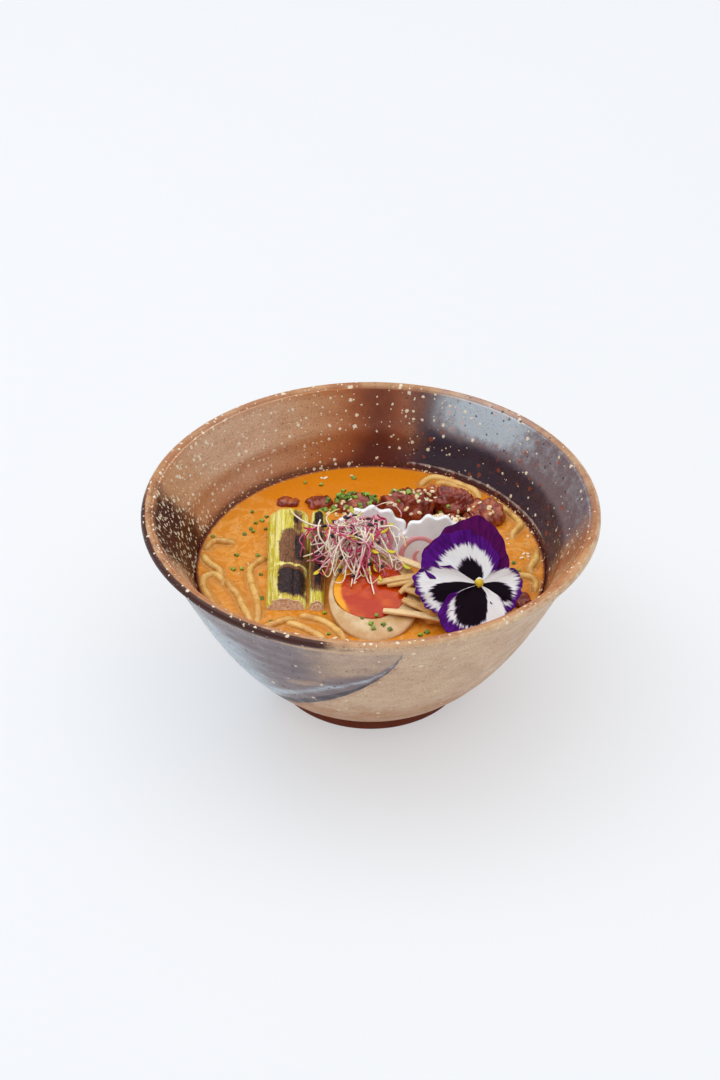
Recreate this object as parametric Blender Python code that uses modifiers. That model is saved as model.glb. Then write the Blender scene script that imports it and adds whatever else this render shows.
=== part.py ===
"""A bowl of ramen: a thrown stoneware bowl, its broth and noodles, and the toppings that lie on them.

The origin is the centre of the foot's underside, +Z is up, and -Y is the side towards the eater.
Lengths are in metres, or in millimetres where mm() wraps them.
"""
import math
import random

import bmesh
import bpy
from mathutils import Euler, Matrix, Vector, noise
from mathutils.bvhtree import BVHTree

MM = 0.001

# Bowl
RIM_RADIUS = 105 * MM
BOWL_HEIGHT = 98 * MM
FOOT_RADIUS = 45.3 * MM
FOOT_INNER_RADIUS = 38.5 * MM
FOOT_HEIGHT = 5 * MM
FOOT_RECESS = 4 * MM
WALL = 5 * MM
FLOOR = 11 * MM
WALL_POWER = 0.632
WALL_START = 41.5 * MM
WALL_TOP = 96 * MM
WAIST = 2.1 * MM
RIDGE_HEIGHT = 76 * MM
RIDGE_DEPTH = 0.8 * MM
BOWL_STEPS = 36

# Broth and noodles
BROTH_LEVEL = 62 * MM
MENISCUS = 0.8 * MM
NOODLE_RADIUS = 1.6 * MM
NOODLE_LIFT = 0.3 * MM
NOODLE_REACH = 78.5 * MM
CORE_TOP = 44 * MM
HEAP_REACH = 50 * MM

# Toppings
LEEK_START = -34 * MM
LEEK_END = 29 * MM
LEEK_TILT = math.radians(5.8)
EGG_LENGTH = 56 * MM
EGG_WIDTH = 41.5 * MM
EGG_DEPTH = 18.5 * MM
EGG_TILT = math.radians(13)
EGG_FRONT = Vector((0.0015, -0.0568, 0.0623))
YOLK_RADIUS = 17 * MM
SLICE_RADIUS = 20 * MM
SLICE_THICKNESS = 3.8 * MM
SLICE_LOBES = 14
SLICE_LOBE_DEPTH = 0.9 * MM
SLICE_LEAN = math.radians(70)
SWIRL_WIDTH = 2.6 * MM
FLOWER_CENTRE = Vector((0.0485, -0.036, 0.078))
FLOWER_TILT = math.radians(32)
PETAL_THICKNESS = 0.9 * MM
HEAP_CENTRE = Vector((-0.007, -0.0022, 0.082))
HEAP_SIZE = Vector((0.0155, 0.0095, 0.0075))
THREAD_RADIUS = 0.45 * MM

# Space between pieces that touch
GAP = 0.3 * MM


def mm(*values):
    """A point given in millimetres."""
    return Vector(values) * MM


# Scene and materials

for old in list(bpy.data.objects):
    bpy.data.objects.remove(old, do_unlink=True)

scene = bpy.context.scene
dish = bpy.data.collections.new("ramen_bowl")
scene.collection.children.link(dish)


def finish(colour, roughness):
    """A Principled material of one colour."""
    material = bpy.data.materials.new("finish")
    material.use_nodes = True
    shader = material.node_tree.nodes["Principled BSDF"]
    shader.inputs["Base Color"].default_value = (*colour, 1)
    shader.inputs["Roughness"].default_value = roughness
    return material


# Making and joining meshes

def new_object(name, mesh, location=(0, 0, 0), rotation=(0, 0, 0)):
    """An object of the dish with the given mesh and place."""
    piece = bpy.data.objects.new(name, mesh)
    piece.location = location
    piece.rotation_euler = rotation
    dish.objects.link(piece)
    return piece


def mesh_of(shape, name):
    """A mesh made of a bmesh, which is then freed."""
    mesh = bpy.data.meshes.new(name)
    shape.to_mesh(mesh)
    shape.free()
    return mesh


def apply_modifiers(piece):
    """Replaces the object's mesh by what its modifiers make of it."""
    bpy.context.view_layer.update()
    graph = bpy.context.evaluated_depsgraph_get()
    mesh = bpy.data.meshes.new_from_object(piece.evaluated_get(graph))
    piece.modifiers.clear()
    piece.data = mesh


def turned(name, profile, steps):
    """A turned piece: the section's points, which run down the outer side, swept round Z."""
    mesh = bpy.data.meshes.new(name)
    mesh.from_pydata([(r, 0, z) for r, z in profile], [(i, i + 1) for i in range(len(profile) - 1)], [])
    piece = new_object(name, mesh)
    screw = piece.modifiers.new("Turn", "SCREW")
    screw.steps = steps
    screw.render_steps = steps
    screw.use_merge_vertices = True
    screw.merge_threshold = 0.00001
    apply_modifiers(piece)
    return piece


def curve_mesh(name, curve, location=(0, 0, 0), rotation=(0, 0, 0)):
    """A closed mesh object made of a curve, with its caps welded on."""
    guide = new_object(name + "_curve", curve, location, rotation)
    bpy.context.view_layer.update()
    graph = bpy.context.evaluated_depsgraph_get()
    mesh = bpy.data.meshes.new_from_object(guide.evaluated_get(graph))
    place = guide.matrix_world.copy()
    bpy.data.objects.remove(guide, do_unlink=True)
    shape = bmesh.new()
    shape.from_mesh(mesh)
    bmesh.ops.remove_doubles(shape, verts=shape.verts, dist=0.00001)
    bmesh.ops.recalc_face_normals(shape, faces=shape.faces)
    piece = new_object(name, mesh_of(shape, name))
    piece.matrix_world = place
    return piece


def tube(name, points, radius, sides=6):
    """A round strand along points, with flat ends."""
    curve = bpy.data.curves.new(name, "CURVE")
    curve.dimensions = "3D"
    curve.bevel_depth = radius
    curve.bevel_resolution = sides // 2 - 2
    curve.use_fill_caps = True
    line = curve.splines.new("POLY")
    line.points.add(len(points) - 1)
    for knot, point in zip(line.points, points):
        knot.co = (*point, 1)
    return curve_mesh(name, curve)


def plate(name, outline, thickness, location=(0, 0, 0), rotation=(0, 0, 0)):
    """A flat piece cut to an outline in its own XY plane, centred on that plane."""
    curve = bpy.data.curves.new(name, "CURVE")
    curve.dimensions = "2D"
    curve.fill_mode = "BOTH"
    curve.extrude = thickness / 2
    line = curve.splines.new("POLY")
    line.points.add(len(outline) - 1)
    for knot, point in zip(line.points, outline):
        knot.co = (point[0], point[1], 0, 1)
    line.use_cyclic_u = True
    return curve_mesh(name, curve, location, rotation)


def smooth_route(knots, parts):
    """A Catmull-Rom curve through the knots, each stretch in the given number of parts."""
    ends = [2 * knots[0] - knots[1], *knots, 2 * knots[-1] - knots[-2]]
    route = []
    for before, start, end, after in zip(ends, ends[1:], ends[2:], ends[3:]):
        for part in range(parts):
            t = part / parts
            bend = (2 * before - 5 * start + 4 * end - after) * t * t
            twist = (3 * start - before - 3 * end + after) * t ** 3
            route.append((2 * start + (end - before) * t + bend + twist) / 2)
    route.append(knots[-1])
    return route


def combine(body, pieces, operation, solver="MANIFOLD"):
    """Adds pieces to a body or cuts them from it in one Boolean, and removes them."""
    group = bpy.data.collections.new(body.name + "_pieces")
    scene.collection.children.link(group)
    for piece in pieces:
        dish.objects.unlink(piece)
        group.objects.link(piece)
    boolean = body.modifiers.new("Combine", "BOOLEAN")
    boolean.operation = operation
    boolean.solver = solver
    boolean.operand_type = "COLLECTION"
    boolean.collection = group
    apply_modifiers(body)
    for piece in list(group.objects):
        bpy.data.objects.remove(piece, do_unlink=True)
    bpy.data.collections.remove(group)
    keep_outer_shell(body)


def keep_outer_shell(body):
    """Drops loose scraps and fills sealed hollows: only the body's largest shell stays."""
    shape = bmesh.new()
    shape.from_mesh(body.data)
    left = set(shape.faces)
    shells = []
    while left:
        front = [left.pop()]
        shell = set(front)
        while front:
            face = front.pop()
            for edge in face.edges:
                # Two shells that only touch along an edge are still two shells.
                for other in edge.link_faces if len(edge.link_faces) == 2 else ():
                    if other in left:
                        left.remove(other)
                        shell.add(other)
                        front.append(other)
        shells.append(shell)
    main = max(shells, key=lambda shell: sum(face.calc_area() for face in shell))
    scraps = [face for face in shape.faces if face not in main]
    bmesh.ops.delete(shape, geom=scraps, context="FACES")
    shape.to_mesh(body.data)
    shape.free()


def merge_flat_faces(body):
    """Joins the triangles of each flat face, and cuts it into fewer ones."""
    shape = bmesh.new()
    shape.from_mesh(body.data)
    bmesh.ops.dissolve_limit(
        shape, angle_limit=math.radians(0.5), verts=shape.verts, edges=shape.edges)
    bmesh.ops.triangulate(shape, faces=shape.faces)
    shape.to_mesh(body.data)
    shape.free()


def grown(body, amount=GAP):
    """A copy of a round body, larger by an amount all round, to cut its neighbour with."""
    shape = bmesh.new()
    shape.from_mesh(body.data)
    shape.normal_update()
    for vert in shape.verts:
        vert.co += vert.normal * amount * vert.calc_shell_factor()
    cutter = new_object(body.name + "_space", mesh_of(shape, "space"))
    cutter.location = body.location
    cutter.rotation_euler = body.rotation_euler
    return cutter


def ball(name, centre, size, detail=2, rotation=(0, 0, 0)):
    """An ellipsoid with the given half lengths."""
    shape = bmesh.new()
    bmesh.ops.create_icosphere(shape, subdivisions=detail, radius=1)
    bmesh.ops.transform(shape, matrix=Matrix.Diagonal((*size, 1)), verts=shape.verts)
    return new_object(name, mesh_of(shape, name), centre, rotation)


def close(piece, material, smooth_angle=35):
    """Gives a finished piece its material and smooth shading."""
    piece.data.materials.clear()
    piece.data.materials.append(material)
    piece.data.shade_smooth()
    piece.data.set_sharp_from_angle(angle=math.radians(smooth_angle))
    material.name = piece.name
    return piece


# Small toppings that are fused to what they lie on

def surface_of(body):
    """A search tree of a body's faces in the dish's frame."""
    bpy.context.view_layer.update()
    place = body.matrix_world
    corners = [place @ vert.co for vert in body.data.vertices]
    return BVHTree.FromPolygons(corners, [face.vertices for face in body.data.polygons])


def spots_on(body, seed, count, centre, spread, apart, clear=None):
    """Seeded spots on top of a body, inside an ellipse and clear of each other."""
    draw = random.Random(seed)
    surface = surface_of(body)
    spots = []
    tries = 0
    while len(spots) < count and tries < 4000:
        tries += 1
        angle = draw.uniform(0, math.tau)
        reach = math.sqrt(draw.random())
        x = centre[0] + spread[0] * reach * math.cos(angle)
        y = centre[1] + spread[1] * reach * math.sin(angle)
        place, normal, _, _ = surface.ray_cast(mm(x, y, 150), Vector((0, 0, -1)))
        turn = draw.uniform(0, math.tau)
        if place is None or normal.z < 0.5 or (clear and not clear(place)):
            continue
        if all((place - other).length > apart for other, _, _ in spots):
            spots.append((place, normal, turn))
    return spots


def lying(normal, turn):
    """The turn of a piece that lies on a face with the given normal."""
    tip = Vector((0, 0, 1)).rotation_difference(normal)
    return (tip.to_matrix() @ Matrix.Rotation(turn, 3, "Z")).to_euler()


def sesame_seeds(spots):
    """Sesame seeds, half sunk in what they lie on."""
    size = mm(1.5, 0.9, 0.75)
    return [ball("sesame", place, size, 1, lying(normal, turn)) for place, normal, turn in spots]


def chive_rings(spots, radius=1.3 * MM, length=1.6 * MM):
    """Short cuts of chive, each a five-sided drum with its lower part sunk."""
    rings = []
    for place, normal, turn in spots:
        shape = bmesh.new()
        bmesh.ops.create_cone(
            shape, cap_ends=True, segments=5, radius1=radius, radius2=radius * 0.9, depth=length)
        rings.append(new_object("chive", mesh_of(shape, "chive"), place, lying(normal, turn)))
    return rings


# Bowl

def outer_radius(height):
    """Radius of the bowl's outside: a power curve up from the foot, drawn in below the rim."""
    share = (height - FOOT_HEIGHT) / (WALL_TOP - FOOT_HEIGHT)
    swell = (RIM_RADIUS - WALL_START) * share ** WALL_POWER
    return WALL_START + swell - WAIST * math.sin(math.pi * share ** 3)


def wall_point(height, depth):
    """A point of the wall's section, at a depth square to the outside at that height."""
    step = 0.1 * MM
    slope = (outer_radius(height + step) - outer_radius(height - step)) / (2 * step)
    length = math.hypot(1, slope)
    return outer_radius(height) - depth / length, height + depth * slope / length


def section_radius(level, depth):
    """Radius of the surface at a depth in the wall, at a level above the foot."""
    low = FOOT_HEIGHT + 1 * MM
    high = BOWL_HEIGHT
    for _ in range(30):
        middle = (low + high) / 2
        if wall_point(middle, depth)[1] < level:
            low = middle
        else:
            high = middle
    return wall_point(low, depth)[0]


def heights(first, last, count):
    """Evenly spaced heights from first to last."""
    return [first + (last - first) * i / (count - 1) for i in range(count)]


def inner_heights():
    """Heights on the outside that the inner wall's section points lie square to."""
    return heights(FOOT_HEIGHT + 4 * MM, BOWL_HEIGHT - 4 * MM, 9)


def make_bowl():
    """The turned bowl: floor, wall with one throwing ridge, rounded lip, and foot ring."""
    profile = [(0, FLOOR), (section_radius(FLOOR, WALL) - 6 * MM, FLOOR)]
    for height in inner_heights():
        ridge = RIDGE_DEPTH * math.exp(-((height - RIDGE_HEIGHT) / (4 * MM)) ** 2)
        profile.append(wall_point(height, WALL + ridge))
    lip_radius = WALL / 2
    lip_centre = RIM_RADIUS - lip_radius
    for step in range(4):
        angle = math.radians(150 - 50 * step)
        across = lip_centre + lip_radius * math.cos(angle)
        profile.append((across, BOWL_HEIGHT - lip_radius + lip_radius * math.sin(angle)))
    for height in reversed(heights(FOOT_HEIGHT + 1.5 * MM, BOWL_HEIGHT - 8 * MM, 8)):
        profile.append((outer_radius(height), height))
    profile += [
        (FOOT_RADIUS, FOOT_HEIGHT),
        (FOOT_RADIUS + 0.5 * MM, 1 * MM),
        (FOOT_RADIUS, 0),
        (FOOT_INNER_RADIUS, 0),
        (FOOT_INNER_RADIUS - 1.5 * MM, FOOT_RECESS),
        (0, FOOT_RECESS),
    ]
    return close(turned("bowl", profile, BOWL_STEPS), finish((0.42, 0.24, 0.14), 0.45))


# Noodles and broth

NOODLE_ROUTES = [
    # Millimetres across and away, along each strand's stretch at the surface
    [(-77, 13), (-74, 17.5), (-67, 17)],
    [(-78, 5), (-75.5, 0.5), (-70.5, -5)],
    [(-72, -30), (-76, -21), (-77.5, -12), (-73, -8), (-68.5, -13)],
    [(-66, -15), (-61, -24), (-58, -33), (-55, -41)],
    [(-50, 4), (-56, -4), (-55, -15), (-52.5, -25), (-51, -38)],
    [(-49, -49), (-43, -45), (-37, -42)],
    [(-30, -40), (-22, -43), (-16, -49), (-13, -54)],
    [(26, 66), (31, 71), (38, 69), (45.5, 64), (52, 58)],
    [(62, 48), (65.5, 43.5), (69, 38), (72, 31), (68, 24)],
    [(78, 10), (77.5, 4), (74.5, -3)],
    [(75.5, -19), (76, -13), (72, -9.5), (66.5, -10)],
]


def held_in(point, reach):
    """The point, moved in towards the bowl's axis where it lies further out than the reach."""
    pull = min(1, reach / math.hypot(point.x, point.y))
    return Vector((point.x * pull, point.y * pull, point.z))


def strand_route(flat_route):
    """A strand that lies at the surface: its first end dips under, its last goes down to the heap."""
    knots = [Vector((x * MM, y * MM, BROTH_LEVEL + NOODLE_LIFT)) for x, y in flat_route]
    back = (knots[0] - knots[1]).normalized() * 2 * MM
    onward = (knots[-1] - knots[-2]).normalized() * 5 * MM
    dip = held_in(knots[0] + back - Vector((0, 0, 2.4 * MM)), NOODLE_REACH)
    bend = held_in(knots[-1] + onward - Vector((0, 0, 6 * MM)), NOODLE_REACH - 6 * MM)
    root = held_in(Vector((knots[-1].x, knots[-1].y, CORE_TOP - 9 * MM)), HEAP_REACH)
    parts = 2 if len(knots) < 5 else 1
    return [dip, *smooth_route(knots, parts), bend, root]


def noodle_pieces(extra=0.0):
    """The sunk heap and the strands that rise from it to the surface, thicker by an amount."""
    heap = [
        (0, CORE_TOP + extra),
        (46 * MM, CORE_TOP - 3 * MM + extra),
        (60 * MM + extra, 36 * MM),
        (54 * MM + extra, 27 * MM),
        (40 * MM + extra, 17 * MM - extra),
        (0, 16 * MM - extra),
    ]
    core = turned("noodles", heap, 24)
    strands = [tube("strand", strand_route(route), NOODLE_RADIUS + extra) for route in NOODLE_ROUTES]
    return core, strands


def make_noodles():
    core, strands = noodle_pieces()
    combine(core, strands, "UNION")
    return close(core, finish((0.84, 0.66, 0.36), 0.4))


def make_broth(sunk):
    """The broth up to its level, less the sunk pieces' spaces, with specks fused on top."""
    edge = section_radius(BROTH_LEVEL, WALL + GAP)
    profile = [
        (0, BROTH_LEVEL),
        (edge - 2.5 * MM, BROTH_LEVEL),
        (edge - 0.8 * MM, BROTH_LEVEL + MENISCUS * 0.4),
        (section_radius(BROTH_LEVEL + MENISCUS, WALL + GAP), BROTH_LEVEL + MENISCUS),
    ]
    for height in reversed(inner_heights()):
        radius, level = wall_point(height, WALL + GAP)
        if level < BROTH_LEVEL - 3 * MM:
            profile.append((radius, level))
    profile += [(section_radius(FLOOR, WALL) - 7 * MM, FLOOR + GAP), (0, FLOOR + GAP)]
    broth = turned("broth", profile, BOWL_STEPS)
    core, strands = noodle_pieces(GAP)
    combine(broth, [core, *strands, *sunk], "DIFFERENCE")

    top = surface_of(broth)

    def open_broth(place):
        """Whether the broth is flat and whole for a few millimetres round a place."""
        for step in range(6):
            angle = math.tau * step / 6
            probe = place + mm(2.2 * math.cos(angle), 2.2 * math.sin(angle), 50)
            under = top.ray_cast(probe, Vector((0, 0, -1)))[0]
            if under is None or abs(under.z - BROTH_LEVEL) > 0.05 * MM:
                return False
        return abs(place.z - BROTH_LEVEL) < 0.05 * MM

    chives = spots_on(broth, 3, 4, (-60, 32), (14, 22), 5 * MM, open_broth)
    chives += spots_on(broth, 4, 2, (-24, 62), (16, 8), 5 * MM, open_broth)
    sesame = spots_on(broth, 6, 3, (73, 14), (6, 18), 2.5 * MM, open_broth)
    sesame += spots_on(broth, 7, 2, (-22, 76), (5, 3), 2.5 * MM, open_broth)
    combine(broth, chive_rings(chives) + sesame_seeds(sesame), "UNION")
    return close(broth, finish((0.62, 0.30, 0.06), 0.25))


# Leek

def make_leek(name, centre_x, half_width, half_height):
    """A grilled length of leek: a bevelled drum, pressed flat, a little uneven along its length."""
    length = LEEK_END - LEEK_START
    shape = bmesh.new()
    bmesh.ops.create_cone(shape, cap_ends=True, segments=14, radius1=1, radius2=1, depth=length)
    sides = [edge for edge in shape.edges if abs(edge.verts[0].co.z - edge.verts[1].co.z) > length / 2]
    bmesh.ops.subdivide_edges(shape, edges=sides, cuts=2)
    for vert in shape.verts:
        along = vert.co.z
        sway = 1 + 0.05 * math.sin(along * 90 + centre_x * 500)
        across = vert.co.x * half_width * sway
        height = vert.co.y * half_height * (1.05 - 0.05 * sway)
        vert.co = (across, along, height)
    bmesh.ops.recalc_face_normals(shape, faces=shape.faces)
    middle = Vector((centre_x, (LEEK_START + LEEK_END) / 2, 63.2 * MM))
    piece = new_object(name, mesh_of(shape, name), middle, (LEEK_TILT, 0, 0))
    bevel = piece.modifiers.new("Worn ends", "BEVEL")
    bevel.width = 0.8 * MM
    bevel.segments = 1
    bevel.limit_method = "ANGLE"
    bevel.angle_limit = math.radians(60)
    apply_modifiers(piece)
    return piece


# Egg

def half_egg(name, half_width, half_length, depth, broad, middle):
    """Half an egg or yolk, cut face up in its own XY plane; broad is how much wider its front is."""
    shape = bmesh.new()
    bmesh.ops.create_uvsphere(shape, u_segments=20, v_segments=10, radius=1)
    for vert in shape.verts:
        # The sphere's poles are laid along the egg's length.
        along, across, up = -vert.co.z, vert.co.x, vert.co.y
        width = 1 - broad * along
        vert.co = (across * half_width * width, along * half_length, up * depth * width)
    cut = bmesh.ops.bisect_plane(
        shape, geom=[*shape.verts, *shape.edges, *shape.faces], plane_co=(0, 0, 0),
        plane_no=(0, 0, 1), clear_outer=True)
    rim = [item for item in cut["geom_cut"] if isinstance(item, bmesh.types.BMEdge)]
    bmesh.ops.edgeloop_fill(shape, edges=rim)
    bmesh.ops.recalc_face_normals(shape, faces=shape.faces)
    return new_object(name, mesh_of(shape, name), middle, (EGG_TILT, 0, 0))


def make_egg():
    """A soft-boiled egg half: the white, and the yolk that lies in it."""
    lie = Euler((EGG_TILT, 0, 0)).to_matrix()
    middle = EGG_FRONT + lie @ Vector((0, EGG_LENGTH / 2, 0))
    yolk_middle = EGG_FRONT + lie @ Vector((-1.8 * MM, 29.5 * MM, 0))
    white = half_egg("egg_white", EGG_WIDTH / 2, EGG_LENGTH / 2, EGG_DEPTH, 0.08, middle)
    egg_space = grown(white)
    yolk = half_egg("egg_yolk", YOLK_RADIUS, YOLK_RADIUS, 12 * MM, 0.0, yolk_middle)
    space = grown(yolk)
    # The space is raised a little, so that it opens cleanly at the cut face.
    space.location += lie @ Vector((0, 0, 0.02 * MM))
    combine(white, [space], "DIFFERENCE", "EXACT")
    chives = spots_on(white, 11, 5, (0, -49), (8, 3), 3 * MM)
    combine(white, chive_rings(chives, 1.2 * MM, 1.5 * MM), "UNION")
    on_yolk = spots_on(yolk, 12, 1, (0.5, -39), (1, 1), 3 * MM)
    combine(yolk, chive_rings(on_yolk, 1.2 * MM, 1.5 * MM), "UNION")
    close(white, finish((0.86, 0.68, 0.48), 0.35))
    close(yolk, finish((0.80, 0.16, 0.02), 0.2))
    return egg_space


# Fish-cake slices

def scalloped_outline(extra=0.0, steps=3):
    """The slice's toothed edge: a circle with evenly spaced lobes, wider by an amount."""
    count = SLICE_LOBES * steps
    outline = []
    for i in range(count):
        angle = math.tau * i / count
        radius = SLICE_RADIUS - SLICE_LOBE_DEPTH * (1 - math.cos(SLICE_LOBES * angle)) + extra
        outline.append((radius * math.cos(angle), radius * math.sin(angle)))
    return outline


def swirl_outline(extra=0.0):
    """A spiral band: out along one side of its centre line, back along the other."""
    turns = 1.35
    samples = 18
    outer, inner = [], []
    for i in range(samples + 1):
        share = i / samples
        angle = math.tau * turns * share
        middle = (3.2 + 10 * share) * MM
        half = (SWIRL_WIDTH / 2) * (0.45 + 0.55 * math.sin(math.pi * share) ** 0.5) + extra
        # The ends of the wider outline also reach a little further along the spiral.
        reach = angle + (2 * share - 1) * extra / middle
        outer.append(((middle + half) * math.cos(reach), (middle + half) * math.sin(reach)))
        inner.append(((middle - half) * math.cos(reach), (middle - half) * math.sin(reach)))
    return outer + inner[::-1]


def make_slice(name, centre, turn):
    """A fish-cake slice that stands in the broth, with the pink swirl that runs through it."""
    lean = Euler((SLICE_LEAN, 0, 0)).to_matrix()
    rotation = (lean @ Matrix.Rotation(turn, 3, "Z")).to_euler()
    white = plate(name, scalloped_outline(), SLICE_THICKNESS, centre, rotation)
    swirl = plate(name + "_swirl", swirl_outline(), SLICE_THICKNESS, centre, rotation)
    slot = plate("slot", swirl_outline(GAP), SLICE_THICKNESS * 2, centre, rotation)
    combine(white, [slot], "DIFFERENCE")
    merge_flat_faces(white)
    close(white, finish((0.90, 0.86, 0.84), 0.4))
    close(swirl, finish((0.86, 0.36, 0.38), 0.4))
    outline = scalloped_outline(GAP * 2, 1)
    return plate(name + "_space", outline, SLICE_THICKNESS + 2 * GAP, centre, rotation)


# Meat

def chunk(name, centre, size, yaw, seed, cuts=3):
    """A torn chunk of braised meat: a rounded block, uneven, with grain along its length."""
    shape = bmesh.new()
    bmesh.ops.create_cube(shape, size=2)
    bmesh.ops.subdivide_edges(shape, edges=shape.edges, cuts=cuts, use_grid_fill=True)
    drift = Vector((seed * 3.1, seed * 1.7, seed * 0.9))
    for vert in shape.verts:
        corner = vert.co.copy()
        rounded = corner.normalized() * 1.25
        vert.co = corner.lerp(rounded, 0.7)
        bumps = noise.noise(vert.co * 1.3 + drift) * 0.22
        grain = 0.05 * math.sin(vert.co.y * 7 + seed)
        vert.co *= 1 + bumps + grain
        vert.co = Vector(vert.co[i] * size[i] * 0.85 for i in range(3))
    bmesh.ops.triangulate(shape, faces=shape.faces)
    bmesh.ops.recalc_face_normals(shape, faces=shape.faces)
    return new_object(name, mesh_of(shape, name), centre, (0, 0, yaw))


def make_meat():
    """The pieces of braised meat at the back, with sesame and chives on them."""
    lean = (0.28, 0.07, 0.03)
    pale = (0.48, 0.22, 0.12)
    pieces = [
        chunk("meat_main", mm(17.5, 38.5, 66.5), mm(9.5, 7.6, 8.3), 0.1, 1),
        chunk("meat_dark", mm(39.3, 41, 66.3), mm(7, 6.4, 8), -0.2, 2),
        chunk("meat_light", mm(54.5, 37, 64), mm(7.2, 6.6, 5), 0.3, 3, 2),
        chunk("meat_front", mm(36, 28.5, 62.5), mm(11, 5, 5), 0.0, 4),
        chunk("meat_left", mm(-25, 49.5, 61.5), mm(6.6, 4.4, 3.4), 0.1, 5, 2),
        chunk("meat_far_left", mm(-40, 50.5, 61.3), mm(5.4, 3.8, 3.2), -0.1, 6, 2),
        chunk("meat_nub", mm(30.5, 50, 65.5), mm(3.8, 3.6, 7), 0.5, 8, 2),
        chunk("meat_right", mm(68.5, -28.5, 61.6), mm(4.6, 5.4, 3.2), 0.4, 7, 2),
    ]
    spaces = [grown(piece) for piece in pieces]
    seeds = {
        "meat_main": (21, 4, (18, 37), (8, 5)),
        "meat_light": (22, 2, (53, 36), (5, 4)),
        "meat_front": (23, 5, (37, 28), (9, 3.5)),
        "meat_left": (24, 2, (-23, 48), (5, 3)),
    }
    for piece in pieces:
        if piece.name in seeds:
            spots = spots_on(piece, *seeds[piece.name], 2.6 * MM)
            combine(piece, sesame_seeds(spots), "UNION")
    chives = {
        "meat_main": (31, 2, (19, 38), (7, 5)),
        "meat_dark": (32, 1, (37, 39), (5, 4)),
    }
    for piece in pieces:
        if piece.name in chives:
            spots = spots_on(piece, *chives[piece.name], 3 * MM)
            combine(piece, chive_rings(spots, 1.2 * MM), "UNION")
        close(piece, finish(pale if piece.name == "meat_light" else lean, 0.35))
    return spaces


def make_herbs():
    """The pile of chopped chives and minced meat behind the sprouts."""
    core = chunk("herb_pile", mm(-6.5, 46.5, 63), mm(10.5, 5.6, 4.6), 0, 9)
    space = grown(core)
    spots = spots_on(core, 41, 6, (-6.5, 46), (9, 4.5), 2.6 * MM)
    combine(core, chive_rings(spots, 1.2 * MM, 1.8 * MM), "UNION")
    close(core, finish((0.13, 0.22, 0.06), 0.5))
    return space


# Bamboo shoot strips

BAMBOO_STRIPS = [
    # Two ends in millimetres, and a width
    ((11, -11, 74.5), (25.5, -20, 74.0), 3.6),
    ((3, -26, 71.2), (24, -24, 73.0), 4.0),
    ((7.5, -27.3, 70.6), (24, -27, 72.5), 3.2),
    ((13, -32, 69.8), (20, -26.5, 72.4), 3.0),
    ((5.5, -42, 67.6), (25, -45.5, 66.8), 3.6),
    ((14.5, -36, 69.2), (26, -42.5, 67.8), 4.4),
    ((16, -30.8, 71.0), (27, -36.5, 69.8), 4.2),
]


def make_bamboo():
    """Strips of bamboo shoot, laid from a small mound beside the egg over its edge."""
    core = chunk("bamboo_strips", mm(29.5, -32, 66.2), mm(7, 14.5, 8.4), 0, 12)
    space = grown(core)
    strips = []
    for start, end, width in BAMBOO_STRIPS:
        start = mm(*start)
        reach = mm(*end) - start
        shape = bmesh.new()
        bmesh.ops.create_cube(shape, size=1)
        box = Matrix.Diagonal((reach.length + 7 * MM, width * MM, 1.7 * MM, 1))
        bmesh.ops.transform(shape, matrix=box, verts=shape.verts)
        middle = start + reach * (0.5 + 3.5 * MM / reach.length)
        yaw = math.atan2(reach.y, reach.x)
        pitch = -math.asin(reach.z / reach.length)
        strips.append(new_object("strip", mesh_of(shape, "strip"), middle, (0.15, pitch, yaw)))
    combine(core, strips, "UNION")
    close(core, finish((0.72, 0.46, 0.20), 0.45))
    return space


# Sprouts

TRAILING_SPROUTS = [
    # Millimetres, from the heap outwards
    [(-14, -2, 86), (-25, 6, 80), (-31, 14, 76.6), (-36, 21, 75.8), (-38, 25, 76.4)],
    [(-7, -9, 83), (-7, -16, 77), (-8, -22, 73), (-9, -28, 70.4)],
    [(-2, -9, 83), (-1, -17, 76.5), (0, -25, 72), (1.5, -33, 69.8)],
    [(4, -7, 84), (8, -13, 79), (9.5, -17, 76.5), (10, -20, 75.2)],
    [(4, -3, 86), (11, -3, 86), (15, -6, 82), (16, -9, 79)],
    [(-14, -6, 84), (-21, -9, 80), (-26, -11, 77), (-31, -12, 75.5)],
]


def make_sprouts():
    """The heap of sprouts: a core, threads that arch over it, trailing threads and dark seeds."""
    draw = random.Random(17)
    core = ball("sprouts", HEAP_CENTRE, HEAP_SIZE, 2)
    for vert in core.data.vertices:
        vert.co *= 1 + 0.18 * noise.noise(vert.co * 160)

    def on_heap(angle, rise, scale):
        """A point over the core, by compass angle and rise, at a scale of its half lengths."""
        out = Vector((math.cos(angle) * math.cos(rise), math.sin(angle) * math.cos(rise), math.sin(rise)))
        return HEAP_CENTRE + Vector(out[i] * HEAP_SIZE[i] * scale for i in range(3))

    pieces = []
    for _ in range(10):
        start = draw.uniform(0, math.tau)
        sweep = draw.uniform(1.4, 2.8)
        top = draw.uniform(0.5, 1.1)
        swell = draw.uniform(1.12, 1.42)
        knots = [
            on_heap(start, 0.15, 0.85),
            on_heap(start + sweep * 0.25, top * 0.7, swell),
            on_heap(start + sweep * 0.7, top, swell * 0.97),
            on_heap(start + sweep, 0.2, 0.85),
        ]
        pieces.append(tube("thread", smooth_route(knots, 2), THREAD_RADIUS, 4))
    for route in TRAILING_SPROUTS:
        knots = [mm(*point) for point in route]
        pieces.append(tube("thread", smooth_route(knots, 2), THREAD_RADIUS, 4))
    for _ in range(7):
        place = on_heap(draw.uniform(0, math.tau), draw.uniform(0.3, 1.2), 1.0)
        turn = (draw.uniform(0, 3), draw.uniform(0, 3), 0)
        pieces.append(ball("seed", place, mm(0.9, 1.6, 0.9), 1, turn))
    combine(core, pieces, "UNION")
    return close(core, finish((0.80, 0.62, 0.62), 0.5))


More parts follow.
